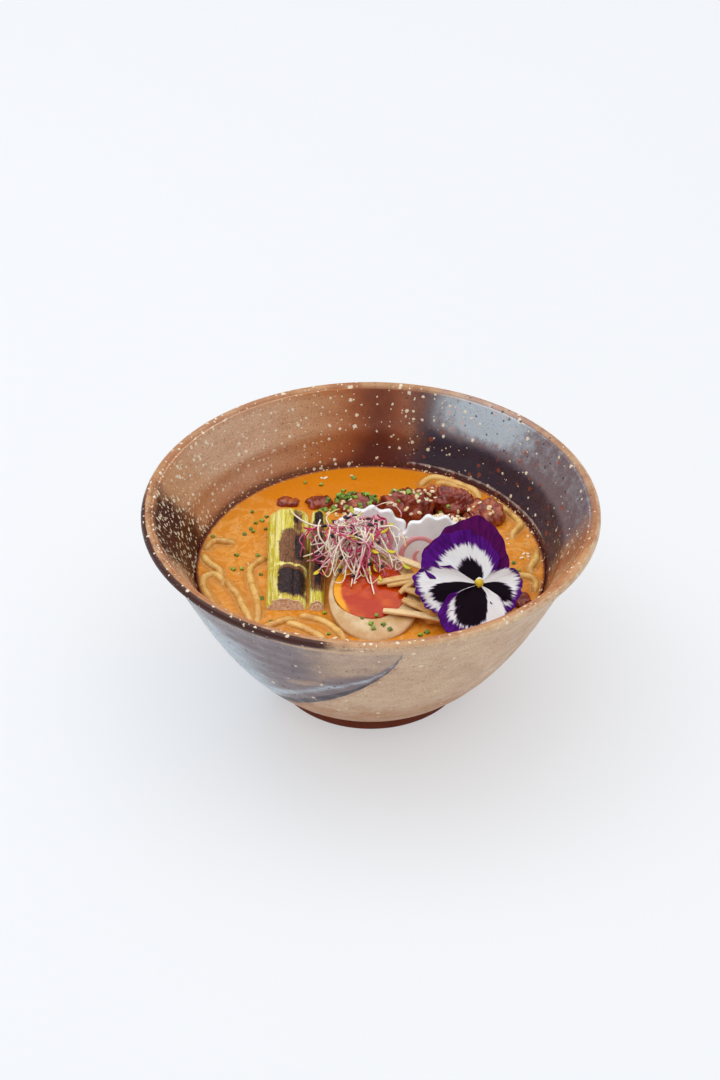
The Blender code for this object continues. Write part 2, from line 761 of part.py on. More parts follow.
# Pansy

PETALS = [
    # Direction and half spread in degrees, length in millimetres, lift and wave in millimetres
    ("back", 99, 62, 35.5, -3.2, 0.6),
    ("upper", 124, 66, 29.5, -1.4, 0.8),
    ("left", 186, 58, 30, 0.3, 0.8),
    ("right", 352, 58, 20, 0.3, 0.7),
    ("lip", 262, 66, 27.5, 2.0, 0.9),
]


def make_petal(name, direction, spread, length, lift, wave):
    """A thin wavy fan from the flower's eye, rounded to its sides."""
    rows, columns = 3, 8
    shape = bmesh.new()
    grid = []
    for row in range(rows + 1):
        out = 0.06 + 0.94 * row / rows
        line = []
        for column in range(columns + 1):
            side = -0.94 + 1.88 * column / columns
            angle = math.radians(direction + spread * side)
            radius = length * MM * out * (1 - abs(side) ** 3) ** 0.5
            ripple = wave * math.sin(side * 7 + direction) * out * out
            height = (lift * min(1, out * 2.5) + ripple + 1.5 * out * out) * MM
            line.append(shape.verts.new((radius * math.cos(angle), radius * math.sin(angle), height)))
        grid.append(line)
    for near, far in zip(grid, grid[1:]):
        for column in range(columns):
            shape.faces.new((near[column], far[column], far[column + 1], near[column + 1]))
    bmesh.ops.triangulate(shape, faces=shape.faces)
    bmesh.ops.recalc_face_normals(shape, faces=shape.faces)
    petal = new_object("petal_" + name, mesh_of(shape, name), FLOWER_CENTRE, (FLOWER_TILT, 0, 0))
    solid = petal.modifiers.new("Thickness", "SOLIDIFY")
    solid.thickness = PETAL_THICKNESS
    solid.offset = 0
    apply_modifiers(petal)
    return petal


def make_pansy():
    """A pansy that faces the eater: five petals joined at the eye, with a short stem behind."""
    eye = ball("pansy", FLOWER_CENTRE, mm(4.2, 3.8, 4.4), 2, (FLOWER_TILT, 0, 0))
    petals = [make_petal(*petal) for petal in PETALS]
    stem_route = [FLOWER_CENTRE, FLOWER_CENTRE + mm(0, 5, -7), FLOWER_CENTRE + mm(-1, 7, -15.2)]
    stem = tube("stem", smooth_route(stem_route, 2), 1.1 * MM, 6)
    combine(eye, [*petals, stem], "UNION")
    return close(eye, finish((0.30, 0.05, 0.48), 0.5))


make_bowl()
make_noodles()
leeks = [
    close(make_leek("leek_large", -38.6 * MM, 9.4 * MM, 8.2 * MM), finish((0.66, 0.60, 0.12), 0.45)),
    close(make_leek("leek_small", -24.7 * MM, 3.8 * MM, 7.4 * MM), finish((0.50, 0.42, 0.10), 0.45)),
]
leek_spaces = [grown(leek) for leek in leeks]
egg_space = make_egg()
slice_spaces = [
    make_slice("fish_cake_left", mm(0.2, 8.3, 66.8), 0.2),
    make_slice("fish_cake_right", mm(30, 2.8, 65.6), 2.2),
]
meat_spaces = make_meat()
herb_space = make_herbs()
bamboo_space = make_bamboo()
make_sprouts()
make_pansy()
make_broth([*leek_spaces, egg_space, *slice_spaces, *meat_spaces, herb_space, bamboo_space])
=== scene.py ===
"""Looks for a bowl of ramen: glazed stoneware, soup, noodles and toppings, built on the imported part.

Shapes are worked out in millimetres as whole arrays, and scaled to metres when they become meshes.
The origin is the centre of the foot's underside, +Z is up, and -Y is the side towards the eater.
"""
import math

import bpy
import numpy as np
from bpy.props import FloatProperty, FloatVectorProperty, IntProperty, PointerProperty
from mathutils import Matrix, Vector
from mathutils.bvhtree import BVHTree


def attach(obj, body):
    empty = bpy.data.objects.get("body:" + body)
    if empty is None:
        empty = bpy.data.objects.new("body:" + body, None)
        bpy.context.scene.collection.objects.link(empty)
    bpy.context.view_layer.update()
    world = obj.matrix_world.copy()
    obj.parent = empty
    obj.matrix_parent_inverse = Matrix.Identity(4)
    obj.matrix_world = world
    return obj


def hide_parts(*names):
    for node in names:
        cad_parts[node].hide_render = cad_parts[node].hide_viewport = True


bl_info = {
    "name": "Ramen Bowl",
    "version": (1, 0, 0),
    "blender": (4, 5, 0),
    "location": "3D View > Sidebar > Ramen",
    "description": "Dresses the packed ramen bowl: glaze, soup, noodles and toppings",
    "category": "Add Mesh",
}

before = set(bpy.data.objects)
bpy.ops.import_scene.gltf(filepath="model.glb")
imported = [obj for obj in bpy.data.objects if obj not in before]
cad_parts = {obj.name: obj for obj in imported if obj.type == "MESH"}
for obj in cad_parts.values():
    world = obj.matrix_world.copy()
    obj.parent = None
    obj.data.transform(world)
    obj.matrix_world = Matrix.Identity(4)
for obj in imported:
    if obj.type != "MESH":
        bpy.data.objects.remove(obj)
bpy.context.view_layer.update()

MM = 0.001
BODY = "root"


# Settings that a user would change

def shade(red, green, blue):
    """A colour given as the eye sees it, 0 to 255 a channel, as the linear numbers that shaders use."""
    seen = np.array([red, green, blue]) / 255
    return tuple(np.where(seen <= 0.04045, seen / 12.92, ((seen + 0.055) / 1.055) ** 2.4).tolist())


def colour(name, description, red, green, blue):
    """A colour property with its default given as the eye sees it."""
    return FloatVectorProperty(
        name=name, description=description, subtype="COLOR", size=3, min=0, max=1,
        default=shade(red, green, blue))


def length(name, description, millimetres):
    """A length property with its default given in millimetres."""
    return FloatProperty(
        name=name, description=description, unit="LENGTH", subtype="DISTANCE", min=0,
        default=millimetres * MM)


class BowlSettings(bpy.types.PropertyGroup):
    """Sizes of the bowl and the colours of its glaze."""
    rim_radius: length("Rim radius", "Outside radius of the lip", 105)
    height: length("Height", "From the foot's underside to the lip", 97.96)
    foot_radius: length("Foot radius", "Outside radius of the foot ring", 45.3)
    foot_height: length("Foot height", "Height of the foot ring", 5)
    wall: length("Wall", "Thickness of the wall", 5)
    floor: length("Floor", "Height of the floor inside", 11)
    tan: colour("Tan", "Glaze on the left and back of the inside", 208, 150, 100)
    # Sand is partly paler glaze and partly a painted highlight on the back left of the inside
    sand_and_highlight: colour("Sand", "Paler patches in the tan glaze", 224, 188, 158)
    beige: colour("Beige", "Glaze on the right of the outside", 225, 190, 154)
    rust: colour("Rust", "Where the tan glaze meets the blue-grey one", 98, 38, 20)
    iron: colour("Iron", "Dark brown patch at the left", 66, 24, 14)
    ash: colour("Ash", "Blue-grey glaze", 124, 106, 110)
    deep: colour("Deep", "Darkest part of the blue-grey glaze", 57, 46, 61)
    # Silvery colour: partly the glaze's own sheen, partly a painted reflection of the light
    silver_and_reflection: colour("Silver", "Palest part of the blue-grey glaze", 192, 204, 214)
    speck: colour("Speck", "Cream specks in the glaze", 246, 230, 202)
    bare: colour("Bare clay", "Unglazed foot", 124, 46, 4)


class SoupSettings(bpy.types.PropertyGroup):
    """Level of the soup, and the colours of soup and noodles."""
    level: length("Level", "Height of the soup's surface above the foot's underside", 62)
    meniscus: length("Meniscus", "How far the soup climbs at the wall", 0.8)
    noodle_radius: length("Noodle radius", "Radius of a noodle", 1.6)
    amber: colour("Amber", "Clear part of the soup", 212, 124, 8)
    milk: colour("Milk", "Creamy swirls in the soup", 214, 138, 40)
    deep: colour("Deep", "Soup in the shade beside the noodles", 150, 72, 10)
    brim: colour("Brim", "Dark line where the soup meets the wall", 96, 30, 8)
    noodle: colour("Noodle", "Noodles", 234, 190, 108)


class ToppingSettings(bpy.types.PropertyGroup):
    """Colours of the toppings."""
    leek: colour("Leek", "Yellow-green side of the leek", 212, 192, 20)
    leek_pale: colour("Leek, pale", "Pale streaks of the leek", 244, 232, 150)
    leek_brown: colour("Leek, browned", "Browned part of the leek", 140, 76, 50)
    char: colour("Char", "Burnt part of the leek", 22, 8, 14)
    egg_white: colour("Egg white", "Egg white, tanned by the soup", 196, 154, 96)
    yolk: colour("Yolk", "Soft middle of the yolk", 188, 48, 0)
    yolk_rim: colour("Yolk rim", "Set edge of the yolk", 244, 166, 8)
    fish_cake: colour("Fish cake", "White of the fish cake", 250, 249, 251)
    swirl: colour("Swirl", "Pink swirl of the fish cake", 246, 170, 176)
    meat: colour("Meat", "Braised meat", 138, 40, 18)
    fat: colour("Fat", "Fat and sinew on the meat", 186, 100, 48)
    chive: colour("Chive", "Chopped chives", 92, 130, 34)
    sesame: colour("Sesame", "Toasted sesame seeds", 248, 236, 206)
    bamboo: colour("Bamboo", "Bamboo shoot strips", 232, 182, 112)
    sprout: colour("Sprout", "White sprout threads", 250, 240, 222)
    crimson: colour("Crimson", "Pink and crimson sprout threads", 206, 34, 96)
    leaf: colour("Leaf", "Yellow leaves of the sprouts", 236, 212, 24)
    seed: colour("Seed", "Black seeds of the sprouts", 16, 14, 22)
    threads: IntProperty(
        name="Threads", description="Number of threads in the heap", default=150, min=1)


class FlowerSettings(bpy.types.PropertyGroup):
    """Sizes and colours of the pansy."""
    thickness: length("Petal thickness", "Thickness of a petal", 0.5)
    plum: colour("Plum", "Back petal", 86, 4, 80)
    violet: colour("Violet", "Edges of the front petals", 84, 12, 122)
    white: colour("White", "Pale part of the front petals", 226, 224, 224)
    blotch: colour("Blotch", "Dark blotches round the eye", 14, 0, 12)
    eye: colour("Eye", "Yellow eye", 236, 200, 40)


class StageSettings(bpy.types.PropertyGroup):
    """Floor and lights."""
    floor: colour("Floor", "Pale floor", 173, 174, 177)
    glow: FloatProperty(
        name="Glow", description="How much the floor shines by itself", default=0.47, min=0)
    sky: FloatProperty(
        name="Sky", description="Strength of the light from low all round", default=0.38, min=0)
    overhead: FloatProperty(
        name="Overhead", description="Strength of the light from above", default=1.75, min=0)
    key: FloatProperty(
        name="Key", description="Power of the large soft light", unit="POWER", default=2.4, min=0)


# Arrays of points with faces

class Shape:
    """Points in millimetres, the quads and triangles over them, and fields with a value at each point."""

    def __init__(self, points, quads, triangles, fields):
        self.points = points
        self.quads = quads
        self.triangles = triangles
        self.fields = fields

    def outward(self):
        """Turns every face round if the signed volume under the faces is negative."""
        halves = np.concatenate([self.quads[:, :3], self.quads[:, [0, 2, 3]], self.triangles])
        a, b, c = (self.points[halves[:, i]] for i in range(3))
        if np.einsum("ij,ij->", a, np.cross(b, c)) < 0:
            self.quads = self.quads[:, ::-1]
            self.triangles = self.triangles[:, ::-1]
        return self


def skin(points, closed=True, capped=True, **fields):
    """Faces a grid of points, rows by columns. closed joins the last column to the first, and capped
    closes the first and last row with a fan round its mean point."""
    rows, columns = points.shape[:2]
    flat = points.reshape(-1, 3)
    row = np.arange(rows - 1)[:, None] * columns
    column = np.arange(columns if closed else columns - 1)[None, :]
    near = row + column
    side = row + (column + 1) % columns
    quads = np.stack([near, side, side + columns, near + columns], -1).reshape(-1, 4)
    values = {key: np.broadcast_to(value, (rows, columns)).reshape(-1) for key, value in fields.items()}
    triangles = np.zeros((0, 3), int)
    if capped:
        ring = np.arange(columns)
        after = (ring + 1) % columns
        hub = np.full(columns, len(flat))
        base = (rows - 1) * columns
        triangles = np.concatenate([
            np.stack([after, ring, hub], -1),
            np.stack([base + ring, base + after, hub + 1], -1),
        ])
        flat = np.vstack([flat, points[0].mean(0), points[-1].mean(0)])
        values = {key: np.append(v, [v[:columns].mean(), v[base:].mean()]) for key, v in values.items()}
    shape = Shape(flat, quads, triangles, values)
    return shape.outward() if closed and capped else shape


def joined(shapes):
    """One shape made of several, which all have the same fields."""
    starts = np.cumsum([0] + [len(shape.points) for shape in shapes[:-1]])
    return Shape(
        np.concatenate([shape.points for shape in shapes]),
        np.concatenate([shape.quads + start for shape, start in zip(shapes, starts)]),
        np.concatenate([shape.triangles + start for shape, start in zip(shapes, starts)]),
        {key: np.concatenate([shape.fields[key] for shape in shapes]) for key in shapes[0].fields},
    )


def copies(shape, places, turns, scales, tones):
    """Copies of one shape: point = place + turn (scale x point). Each copy has one tone."""
    count, size = len(places), len(shape.points)
    scaled = shape.points[None] * np.asarray(scales).reshape(count, 1, -1)
    points = np.einsum("kij,knj->kni", turns, scaled) + np.asarray(places)[:, None]
    shift = (np.arange(count) * size)[:, None, None]
    return Shape(
        points.reshape(-1, 3),
        (shape.quads[None] + shift).reshape(-1, 4),
        (shape.triangles[None] + shift).reshape(-1, 3),
        {**{key: np.tile(v, count) for key, v in shape.fields.items()}, "tone": np.repeat(tones, size)},
    )


def waves(points, size, seed):
    """A smooth random field from about -1 to 1: the mean of nine sine waves in random directions."""
    draw = np.random.default_rng(seed)
    ways = draw.normal(size=(9, 3))
    ways /= np.linalg.norm(ways, axis=1)[:, None]
    turns = points @ ways.T * (math.tau / size) * draw.uniform(0.6, 1.6, 9)
    return np.sin(turns + draw.uniform(0, math.tau, 9)).mean(-1) * 1.7


def step(value, low, high):
    """0 below low, 1 above high, and a smooth rise between them."""
    t = np.clip((value - low) / (high - low), 0, 1)
    return t * t * (3 - 2 * t)


def peak(value, middle, width):
    """1 at the middle, falling off on both sides: exp(-(gap / width) squared)."""
    return np.exp(-((value - middle) / width) ** 2)


def circle(count):
    """Even angles once round."""
    return np.linspace(0, math.tau, count, endpoint=False)


def round_z(radius, angle, height):
    """Points at a radius and an angle about Z, at a height."""
    return np.stack(np.broadcast_arrays(radius * np.cos(angle), radius * np.sin(angle), height), -1)


def squared(angle, power):
    """How far out a superellipse lies at an angle, where a circle has 1."""
    return (np.abs(np.cos(angle)) ** power + np.abs(np.sin(angle)) ** power) ** (-1 / power)


def unit(vectors):
    """The vectors, scaled to length 1."""
    return vectors / np.maximum(np.linalg.norm(vectors, axis=-1, keepdims=True), 1e-9)


def route(knots, parts):
    """A Catmull-Rom curve through the knots, each stretch in the given number of parts."""
    knots = np.asarray(knots, float)
    ends = np.vstack([2 * knots[0] - knots[1], knots, 2 * knots[-1] - knots[-2]])
    before, start, end, after = (ends[i:len(ends) - 3 + i, None] for i in range(4))
    t = (np.arange(parts) / parts)[None, :, None]
    bend = (2 * before - 5 * start + 4 * end - after) * t ** 2
    twist = (3 * start - before - 3 * end + after) * t ** 3
    line = (2 * start + (end - before) * t + bend + twist) / 2
    return np.vstack([line.reshape(-1, 3), knots[-1]])


def tube(path, radius, sides, power=2.0, **fields):
    """A round profile carried along a path. The profile is a superellipse, and its first axis is
    square to the path's flattest plane. along runs from 0 to 1."""
    path = np.asarray(path, float)
    forward = unit(np.gradient(path, axis=0))
    level = np.linalg.svd(path - path.mean(0))[2][2]
    side = unit(np.cross(forward, level))
    up = np.cross(side, forward)
    angle = circle(sides)
    reach = squared(angle, power)
    radius = np.broadcast_to(radius, len(path))[:, None, None]
    ring = side[:, None] * (np.cos(angle) * reach)[None, :, None]
    ring = ring + up[:, None] * (np.sin(angle) * reach)[None, :, None]
    along = np.linspace(0, 1, len(path))[:, None]
    return skin(path[:, None] + ring * radius, along=along, **fields)


def ball(size, rows=20, columns=32, power=2.0, bumps=0.0, grain=8.0, seed=0, centre=(0, 0, 0), **fields):
    """A superellipsoid with the given half sizes: direction / (|x|^p + |y|^p + |z|^p)^(1/p), swollen
    and dented by a smooth random field."""
    rise = np.linspace(0, math.pi, rows + 2)[1:-1, None]
    turn = circle(columns)[None]
    way = np.stack([
        np.sin(rise) * np.cos(turn), np.sin(rise) * np.sin(turn), np.cos(rise) + 0 * turn], -1)
    reach = (np.abs(way) ** power).sum(-1) ** (-1 / power)
    points = way * reach[..., None] * np.asarray(size, float)
    if bumps:
        points = points * (1 + bumps * waves(points, grain, seed))[..., None]
    return skin(points + np.asarray(centre, float), **fields)


def turned(profile, columns, **fields):
    """A section of radii and heights, row by row, swept round Z and closed at both ends."""
    profile = np.asarray(profile, float)
    angle = circle(columns)
    radius, height = profile[:, :1], profile[:, 1:]
    points = round_z(radius, angle, height)
    return skin(points, **fields)


def tilt(angle):
    """The turn by an angle in degrees about X, as a matrix."""
    c, s = math.cos(math.radians(angle)), math.sin(math.radians(angle))
    return np.array([[1, 0, 0], [0, c, -s], [0, s, c]])


def lying(normals, turns):
    """Turns that lay copies on faces with the given normals, each turned about its normal."""
    up = unit(np.asarray(normals, float))
    guide = np.stack([np.cos(turns), np.sin(turns), 0 * turns], -1)
    across = unit(guide - (guide * up).sum(-1, keepdims=True) * up)
    return np.stack([across, np.cross(up, across), up], -1)


# Pieces on the part

def linked(name, data):
    """An object with this data, in the scene."""
    thing = bpy.data.objects.new(name, data)
    bpy.context.scene.collection.objects.link(thing)
    return thing


def make_piece(name, shape, material, nodes, crease=None):
    """A mesh object at the origin made of a shape, which rides on the body and stands for CAD nodes.
    Edges sharper than crease degrees are kept sharp."""
    mesh = bpy.data.meshes.new(name)
    mesh.from_pydata((shape.points * MM).tolist(), [], shape.quads.tolist() + shape.triangles.tolist())
    for key, values in shape.fields.items():
        mesh.attributes.new(key, "FLOAT", "POINT").data.foreach_set("value", values.astype(np.float32))
    mesh.materials.append(material)
    mesh.shade_smooth()
    if crease:
        mesh.set_sharp_from_angle(angle=math.radians(crease))
    piece = linked(name, mesh)
    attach(piece, BODY)
    if nodes:
        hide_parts(*nodes)
    return piece


def landing(names):
    """One search tree over the named pieces, for small things that come to lie on them."""
    corners, faces = [], []
    for name in names:
        mesh = bpy.data.objects[name].data
        start = len(corners)
        corners += [vertex.co.copy() for vertex in mesh.vertices]
        faces += [[start + i for i in face.vertices] for face in mesh.polygons]
    return BVHTree.FromPolygons(corners, faces)


def dropped(tree, spots, steepest=0.35):
    """Where points in millimetres across and away land from above, with the normals there."""
    places, normals = [], []
    for x, y in spots:
        place, normal, _, _ = tree.ray_cast(Vector((x * MM, y * MM, 0.12)), Vector((0, 0, -1)))
        if place is not None and normal.z > steepest:
            places.append([value / MM for value in place])
            normals.append(list(normal))
    return np.array(places).reshape(-1, 3), np.array(normals).reshape(-1, 3)


def scatter(draw, count, centre, spread):
    """Random points in an ellipse: middle + spread x root of a share, at an even angle."""
    angle = draw.uniform(0, math.tau, count)
    reach = np.sqrt(draw.random(count))
    away = np.stack([np.cos(angle) * reach, np.sin(angle) * reach], -1)
    return np.asarray(centre) + away * np.asarray(spread)


# Shader nodes

class Value:
    """What a node puts out. Sums and products of values add Math nodes."""

    def __init__(self, socket):
        self.socket = socket
        self.tree = socket.id_data

    def __add__(self, other):
        return calc("ADD", self, other)

    def __sub__(self, other):
        return calc("SUBTRACT", self, other)

    def __rsub__(self, other):
        return calc("SUBTRACT", other, self)

    def __mul__(self, other):
        return calc("MULTIPLY", self, other)

    def __rtruediv__(self, other):
        return calc("DIVIDE", other, self)

    def __abs__(self):
        return calc("ABSOLUTE", self)


def put(node, inputs):
    """Sets or links a node's inputs by name or number."""
    for key, value in inputs.items():
        socket = node.inputs[key]
        if isinstance(value, Value):
            node.id_data.links.new(value.socket, socket)
        elif socket.type == "RGBA":
            socket.default_value = (*tuple(value)[:3], 1)
        else:
            socket.default_value = value


def add_node(tree, kind, inputs=(), **settings):
    """A shader node with its settings and inputs."""
    node = tree.nodes.new("ShaderNode" + kind)
    for key, value in settings.items():
        setattr(node, key, value)
    put(node, dict(inputs))
    return node


def add(tree, kind, inputs=(), output=0, **settings):
    """What a new shader node puts out."""
    return Value(add_node(tree, kind, inputs, **settings).outputs[output])


def calc(operation, *values):
    """A Math node's result."""
    tree = next(value.tree for value in values if isinstance(value, Value))
    return add(tree, "Math", dict(enumerate(values)), operation=operation)


def mixed(share, first, second):
    """Two colours, mixed by a share."""
    return add(share.tree, "Mix", {0: share, 6: first, 7: second}, 2, data_type="RGBA")


def ramp(value, low, high, start=0.0, end=1.0):
    """A smooth rise from start at low to end at high."""
    inputs = {0: value, 1: low, 2: high, 3: start, 4: end}
    return add(value.tree, "MapRange", inputs, interpolation_type="SMOOTHSTEP")


def noise(vector, size, detail=3.0, roughness=0.55, distortion=0.0, output=0):
    """Noise with features of about the given size, in the vector's own unit."""
    inputs = {
        "Vector": vector, "Scale": 1 / size, "Detail": detail, "Roughness": roughness,
        "Distortion": distortion}
    return add(vector.tree, "TexNoise", inputs, output)


def joined_axes(x, y, z=0.0):
    """A vector made of three values."""
    return add(x.tree, "CombineXYZ", {0: x, 1: y, 2: z})


def stretched(vector, scale):
    """A vector times a vector."""
    return add(vector.tree, "VectorMath", {0: vector, 1: scale}, operation="MULTIPLY")


def effect(name, defaults, output, build, inputs):
    """A shader node group, made once and placed with its own inputs. defaults gives its numbers, after
    the vector, and build turns what it is given into what it puts out."""
    group = bpy.data.node_groups.get(name)
    if group is None:
        group = bpy.data.node_groups.new(name, "ShaderNodeTree")
        group.interface.new_socket("Vector", in_out="INPUT", socket_type="NodeSocketVector")
        for label, default in defaults.items():
            socket = group.interface.new_socket(label, in_out="INPUT", socket_type="NodeSocketFloat")
            socket.default_value = default
        group.interface.new_socket(output, in_out="OUTPUT", socket_type="NodeSocketFloat")
        start = group.nodes.new("NodeGroupInput")
        end = group.nodes.new("NodeGroupOutput")
        given = {label: Value(start.outputs[label]) for label in ("Vector", *defaults)}
        put(end, {output: build(given)})
    return add(inputs["Vector"].tree, "Group", inputs, output, node_tree=group)


def specks(vector, size, share):
    """Round specks: in a random share of the cells of that size, a spot round the cell's point."""
    def build(given):
        """The mask: a spot's radius less the distance from its point, where the cell is chosen."""
        tree = given["Vector"].tree
        scale = 1.0 / given["Size"]
        cells = add_node(tree, "TexVoronoi", {"Vector": given["Vector"], "Scale": scale})
        parts = add_node(tree, "SeparateColor", {0: Value(cells.outputs["Color"])})
        chosen = calc("LESS_THAN", Value(parts.outputs[0]), given["Share"])
        radius = Value(parts.outputs[1]) * 0.16 + 0.14
        return ramp(radius - Value(cells.outputs["Distance"]), -0.03, 0.05) * chosen

    defaults = {"Size": 1.0, "Share": 0.5}
    return effect("Specks", defaults, "Mask", build, {"Vector": vector, "Size": size, "Share": share})


def uneven(vector, size, low, high):
    """Roughness that wanders between two values over patches of a size."""
    def build(given):
        """Low + a smooth share of noise x (high - low)."""
        inputs = {"Vector": given["Vector"], "Scale": 1.0 / given["Size"], "Detail": 4.0}
        share = ramp(add(given["Vector"].tree, "TexNoise", inputs), 0.35, 0.65)
        return share * (given["High"] - given["Low"]) + given["Low"]

    defaults = {"Size": 5.0, "Low": 0.2, "High": 0.4}
    return effect("Uneven gloss", defaults, "Value", build,
                  {"Vector": vector, "Size": size, "Low": low, "High": high})


def fibres(vector, across, along):
    """Streaks of a width across and a length along the vector's first two axes."""
    def build(given):
        """Noise over the vector, divided by the width and the length."""
        width = 1.0 / given["Across"]
        place = stretched(given["Vector"], joined_axes(width, 1.0 / given["Along"], width))
        return noise(place, 1.0, 3.0, 0.5)

    defaults = {"Across": 1.0, "Along": 10.0}
    return effect("Fibres", defaults, "Value", build,
                  {"Vector": vector, "Across": across, "Along": along})


def new_finish(name, **inputs):
    """A material with a Principled shader. Gives the material, its shader, Object coordinates in
    millimetres, and a function that reads a field which the mesh carries."""
    material = bpy.data.materials.new(name)
    material.use_nodes = True
    tree = material.node_tree
    shader = tree.nodes["Principled BSDF"]
    titles = {key: key.replace("_", " ").title().replace("Ior", "IOR") for key in inputs}
    put(shader, {titles[key]: value for key, value in inputs.items()})
    place = stretched(add(tree, "TexCoord", output="Object"), (1 / MM,) * 3)

    def field(attribute):
        """A field of the mesh, by its name."""
        return add(tree, "Attribute", output="Fac", attribute_name=attribute, attribute_type="GEOMETRY")

    return material, shader, place, field


def dress(shader, base, gloss, relief, depth):
    """Feeds a colour, a roughness if there is one, and a relief so many millimetres deep to the shader."""
    normal = add(relief.tree, "Bump", {"Height": relief, "Distance": depth * MM})
    put(shader, {"Base Color": base, "Normal": normal})
    if gloss is not None:
        put(shader, {"Roughness": gloss})


def soft(shader, share, millimetres, colour_depth=(1.0, 0.6, 0.35)):
    """Lets light into a food's surface."""
    put(shader, {
        "Subsurface Weight": share, "Subsurface Scale": millimetres * MM,
        "Subsurface Radius": colour_depth})


# Bowl

WALL_START = 41.5
WALL_TOP = 96
WALL_POWER = 0.632
WAIST = 2.1
RIDGE_HEIGHT = 76
RIDGE_DEPTH = 0.8
FOOT_INNER = 38.5
FOOT_RECESS = 4


class Bowl:
    """The bowl's section, worked out from its settings, in millimetres."""

    def __init__(self, settings):
        self.rim = settings.rim_radius / MM
        self.height = settings.height / MM
        self.foot = settings.foot_radius / MM
        self.foot_height = settings.foot_height / MM
        self.wall = settings.wall / MM
        self.floor = settings.floor / MM

    def outside(self, height):
        """Outer radius: a power curve up from the foot, drawn in below the rim."""
        share = np.clip((height - self.foot_height) / (WALL_TOP - self.foot_height), 0, 1.2)
        swell = (self.rim - WALL_START) * share ** WALL_POWER
        return WALL_START + swell - WAIST * np.sin(math.pi * share ** 3)

    def wall_point(self, height, depth):
        """Radius and level of a point at a depth square to the outside at that height."""
        gap = 0.1
        slope = (self.outside(height + gap) - self.outside(height - gap)) / (2 * gap)
        run = np.hypot(1, slope)
        return self.outside(height) - depth / run, height + depth * slope / run

    def inner_radius(self, level):
        """Radius of the inner wall at a level, read off its section."""
        heights = np.linspace(self.foot_height + 1, self.height, 400)
        radius, levels = self.wall_point(heights, self.wall)
        return np.interp(level, levels, radius)


def bowl_section(bowl):
    """The section row by row: floor, inner wall with its ridge, rounded lip, outer wall and foot.
    Gives radius, height, and how far each row belongs to the inside."""
    reach = bowl.inner_radius(bowl.floor) - 6
    floor = np.stack([np.linspace(6, reach, 8), np.full(8, bowl.floor)], -1)
    heights = np.linspace(bowl.foot_height + 4, bowl.height - 4, 64)
    ridge = RIDGE_DEPTH * peak(heights, RIDGE_HEIGHT, 4)
    inner = np.stack(bowl.wall_point(heights, bowl.wall + ridge), -1)
    lip_radius = bowl.wall / 2
    angle = np.radians(np.linspace(150, 0, 16))
    lip = np.stack([
        bowl.rim - lip_radius + lip_radius * np.cos(angle),
        bowl.height - lip_radius + lip_radius * np.sin(angle)], -1)
    heights = np.linspace(bowl.height - 8, bowl.foot_height + 1.5, 56)
    outer = np.stack([bowl.outside(heights), heights], -1)
    foot = np.array([
        (bowl.foot, bowl.foot_height), (bowl.foot + 0.1, bowl.foot_height - 0.4),
        (bowl.foot + 0.5, 1.2), (bowl.foot + 0.4, 0.4), (bowl.foot, 0),
        (FOOT_INNER, 0), (FOOT_INNER - 0.4, 0.5), (FOOT_INNER - 1.5, FOOT_RECESS), (8, FOOT_RECESS)])
    rows = np.vstack([floor, inner, lip, outer, foot])
    over_lip = step(np.degrees(angle), 20, 95)
    inside = np.concatenate([np.ones(len(floor) + len(inner)), over_lip, np.zeros(len(outer) + len(foot))])
    return rows[:, 0], rows[:, 1], inside


def inner_glaze(turn, back, level):
    """The glazes of the inside, by compass angle from 0 and from -180 degrees and by level."""
    low = step(80 - level, 0, 16)
    ash = np.minimum((83 + 2 * low - back) / 16, (back + 14) / 15)
    iron = 1 - np.abs((turn - 183 - (level - 80) * 0.3) / 16)
    rust = peak(back, 87, 10 + 5 * low) * (0.95 + 0.35 * low) + 0.5 * peak(back, -14, 8)
    ridge = peak(level, 76, 3.5) * step(turn, 85, 110)
    # Painted shade: ridge gives a darker, browner band at the ridge, away from the right; low makes the
    # wall darker and browner towards the soup
    warm_and_shade = 0.75 * low + 0.5 * ridge + 0.8 * step(118 - turn, 0, 24) + 0.4 * step(back, -10, -25)
    deep = 0.9 * step(81 - level, -3, 4) + 0.8 * peak(back, 76, 7)
    # Painted reflection of the light: a silvery patch high on the back right, and a silvery band near the
    # top
    silver_and_reflection = 1.1 * peak(back, 54, 13) * step(level, 78, 88)
    dense = 0.58 + 0.1 * step(level, 84, 94) - 0.4 * np.clip(np.maximum(ash, rust), 0, 1)
    return {
        "ash": ash,
        "iron": np.minimum(iron, (96 - level) / 7),
        "rust": rust,
        "warm_and_shade": warm_and_shade + 0.5 * step(level, 93, 96),
        # Paler on the back left of the inside, which is a painted highlight, and paler towards the front
        "pale": 0.75 * peak(turn, 136, 22) + 0.5 * step(back, -30, -60),
        "deep": deep - 0.12 * step(30 - back, -8, 12),
        "silver_and_reflection": silver_and_reflection + 0.25 * step(level, 80, 88),
        "specks": dense + 0.3 * peak(turn, 160, 20),
    }


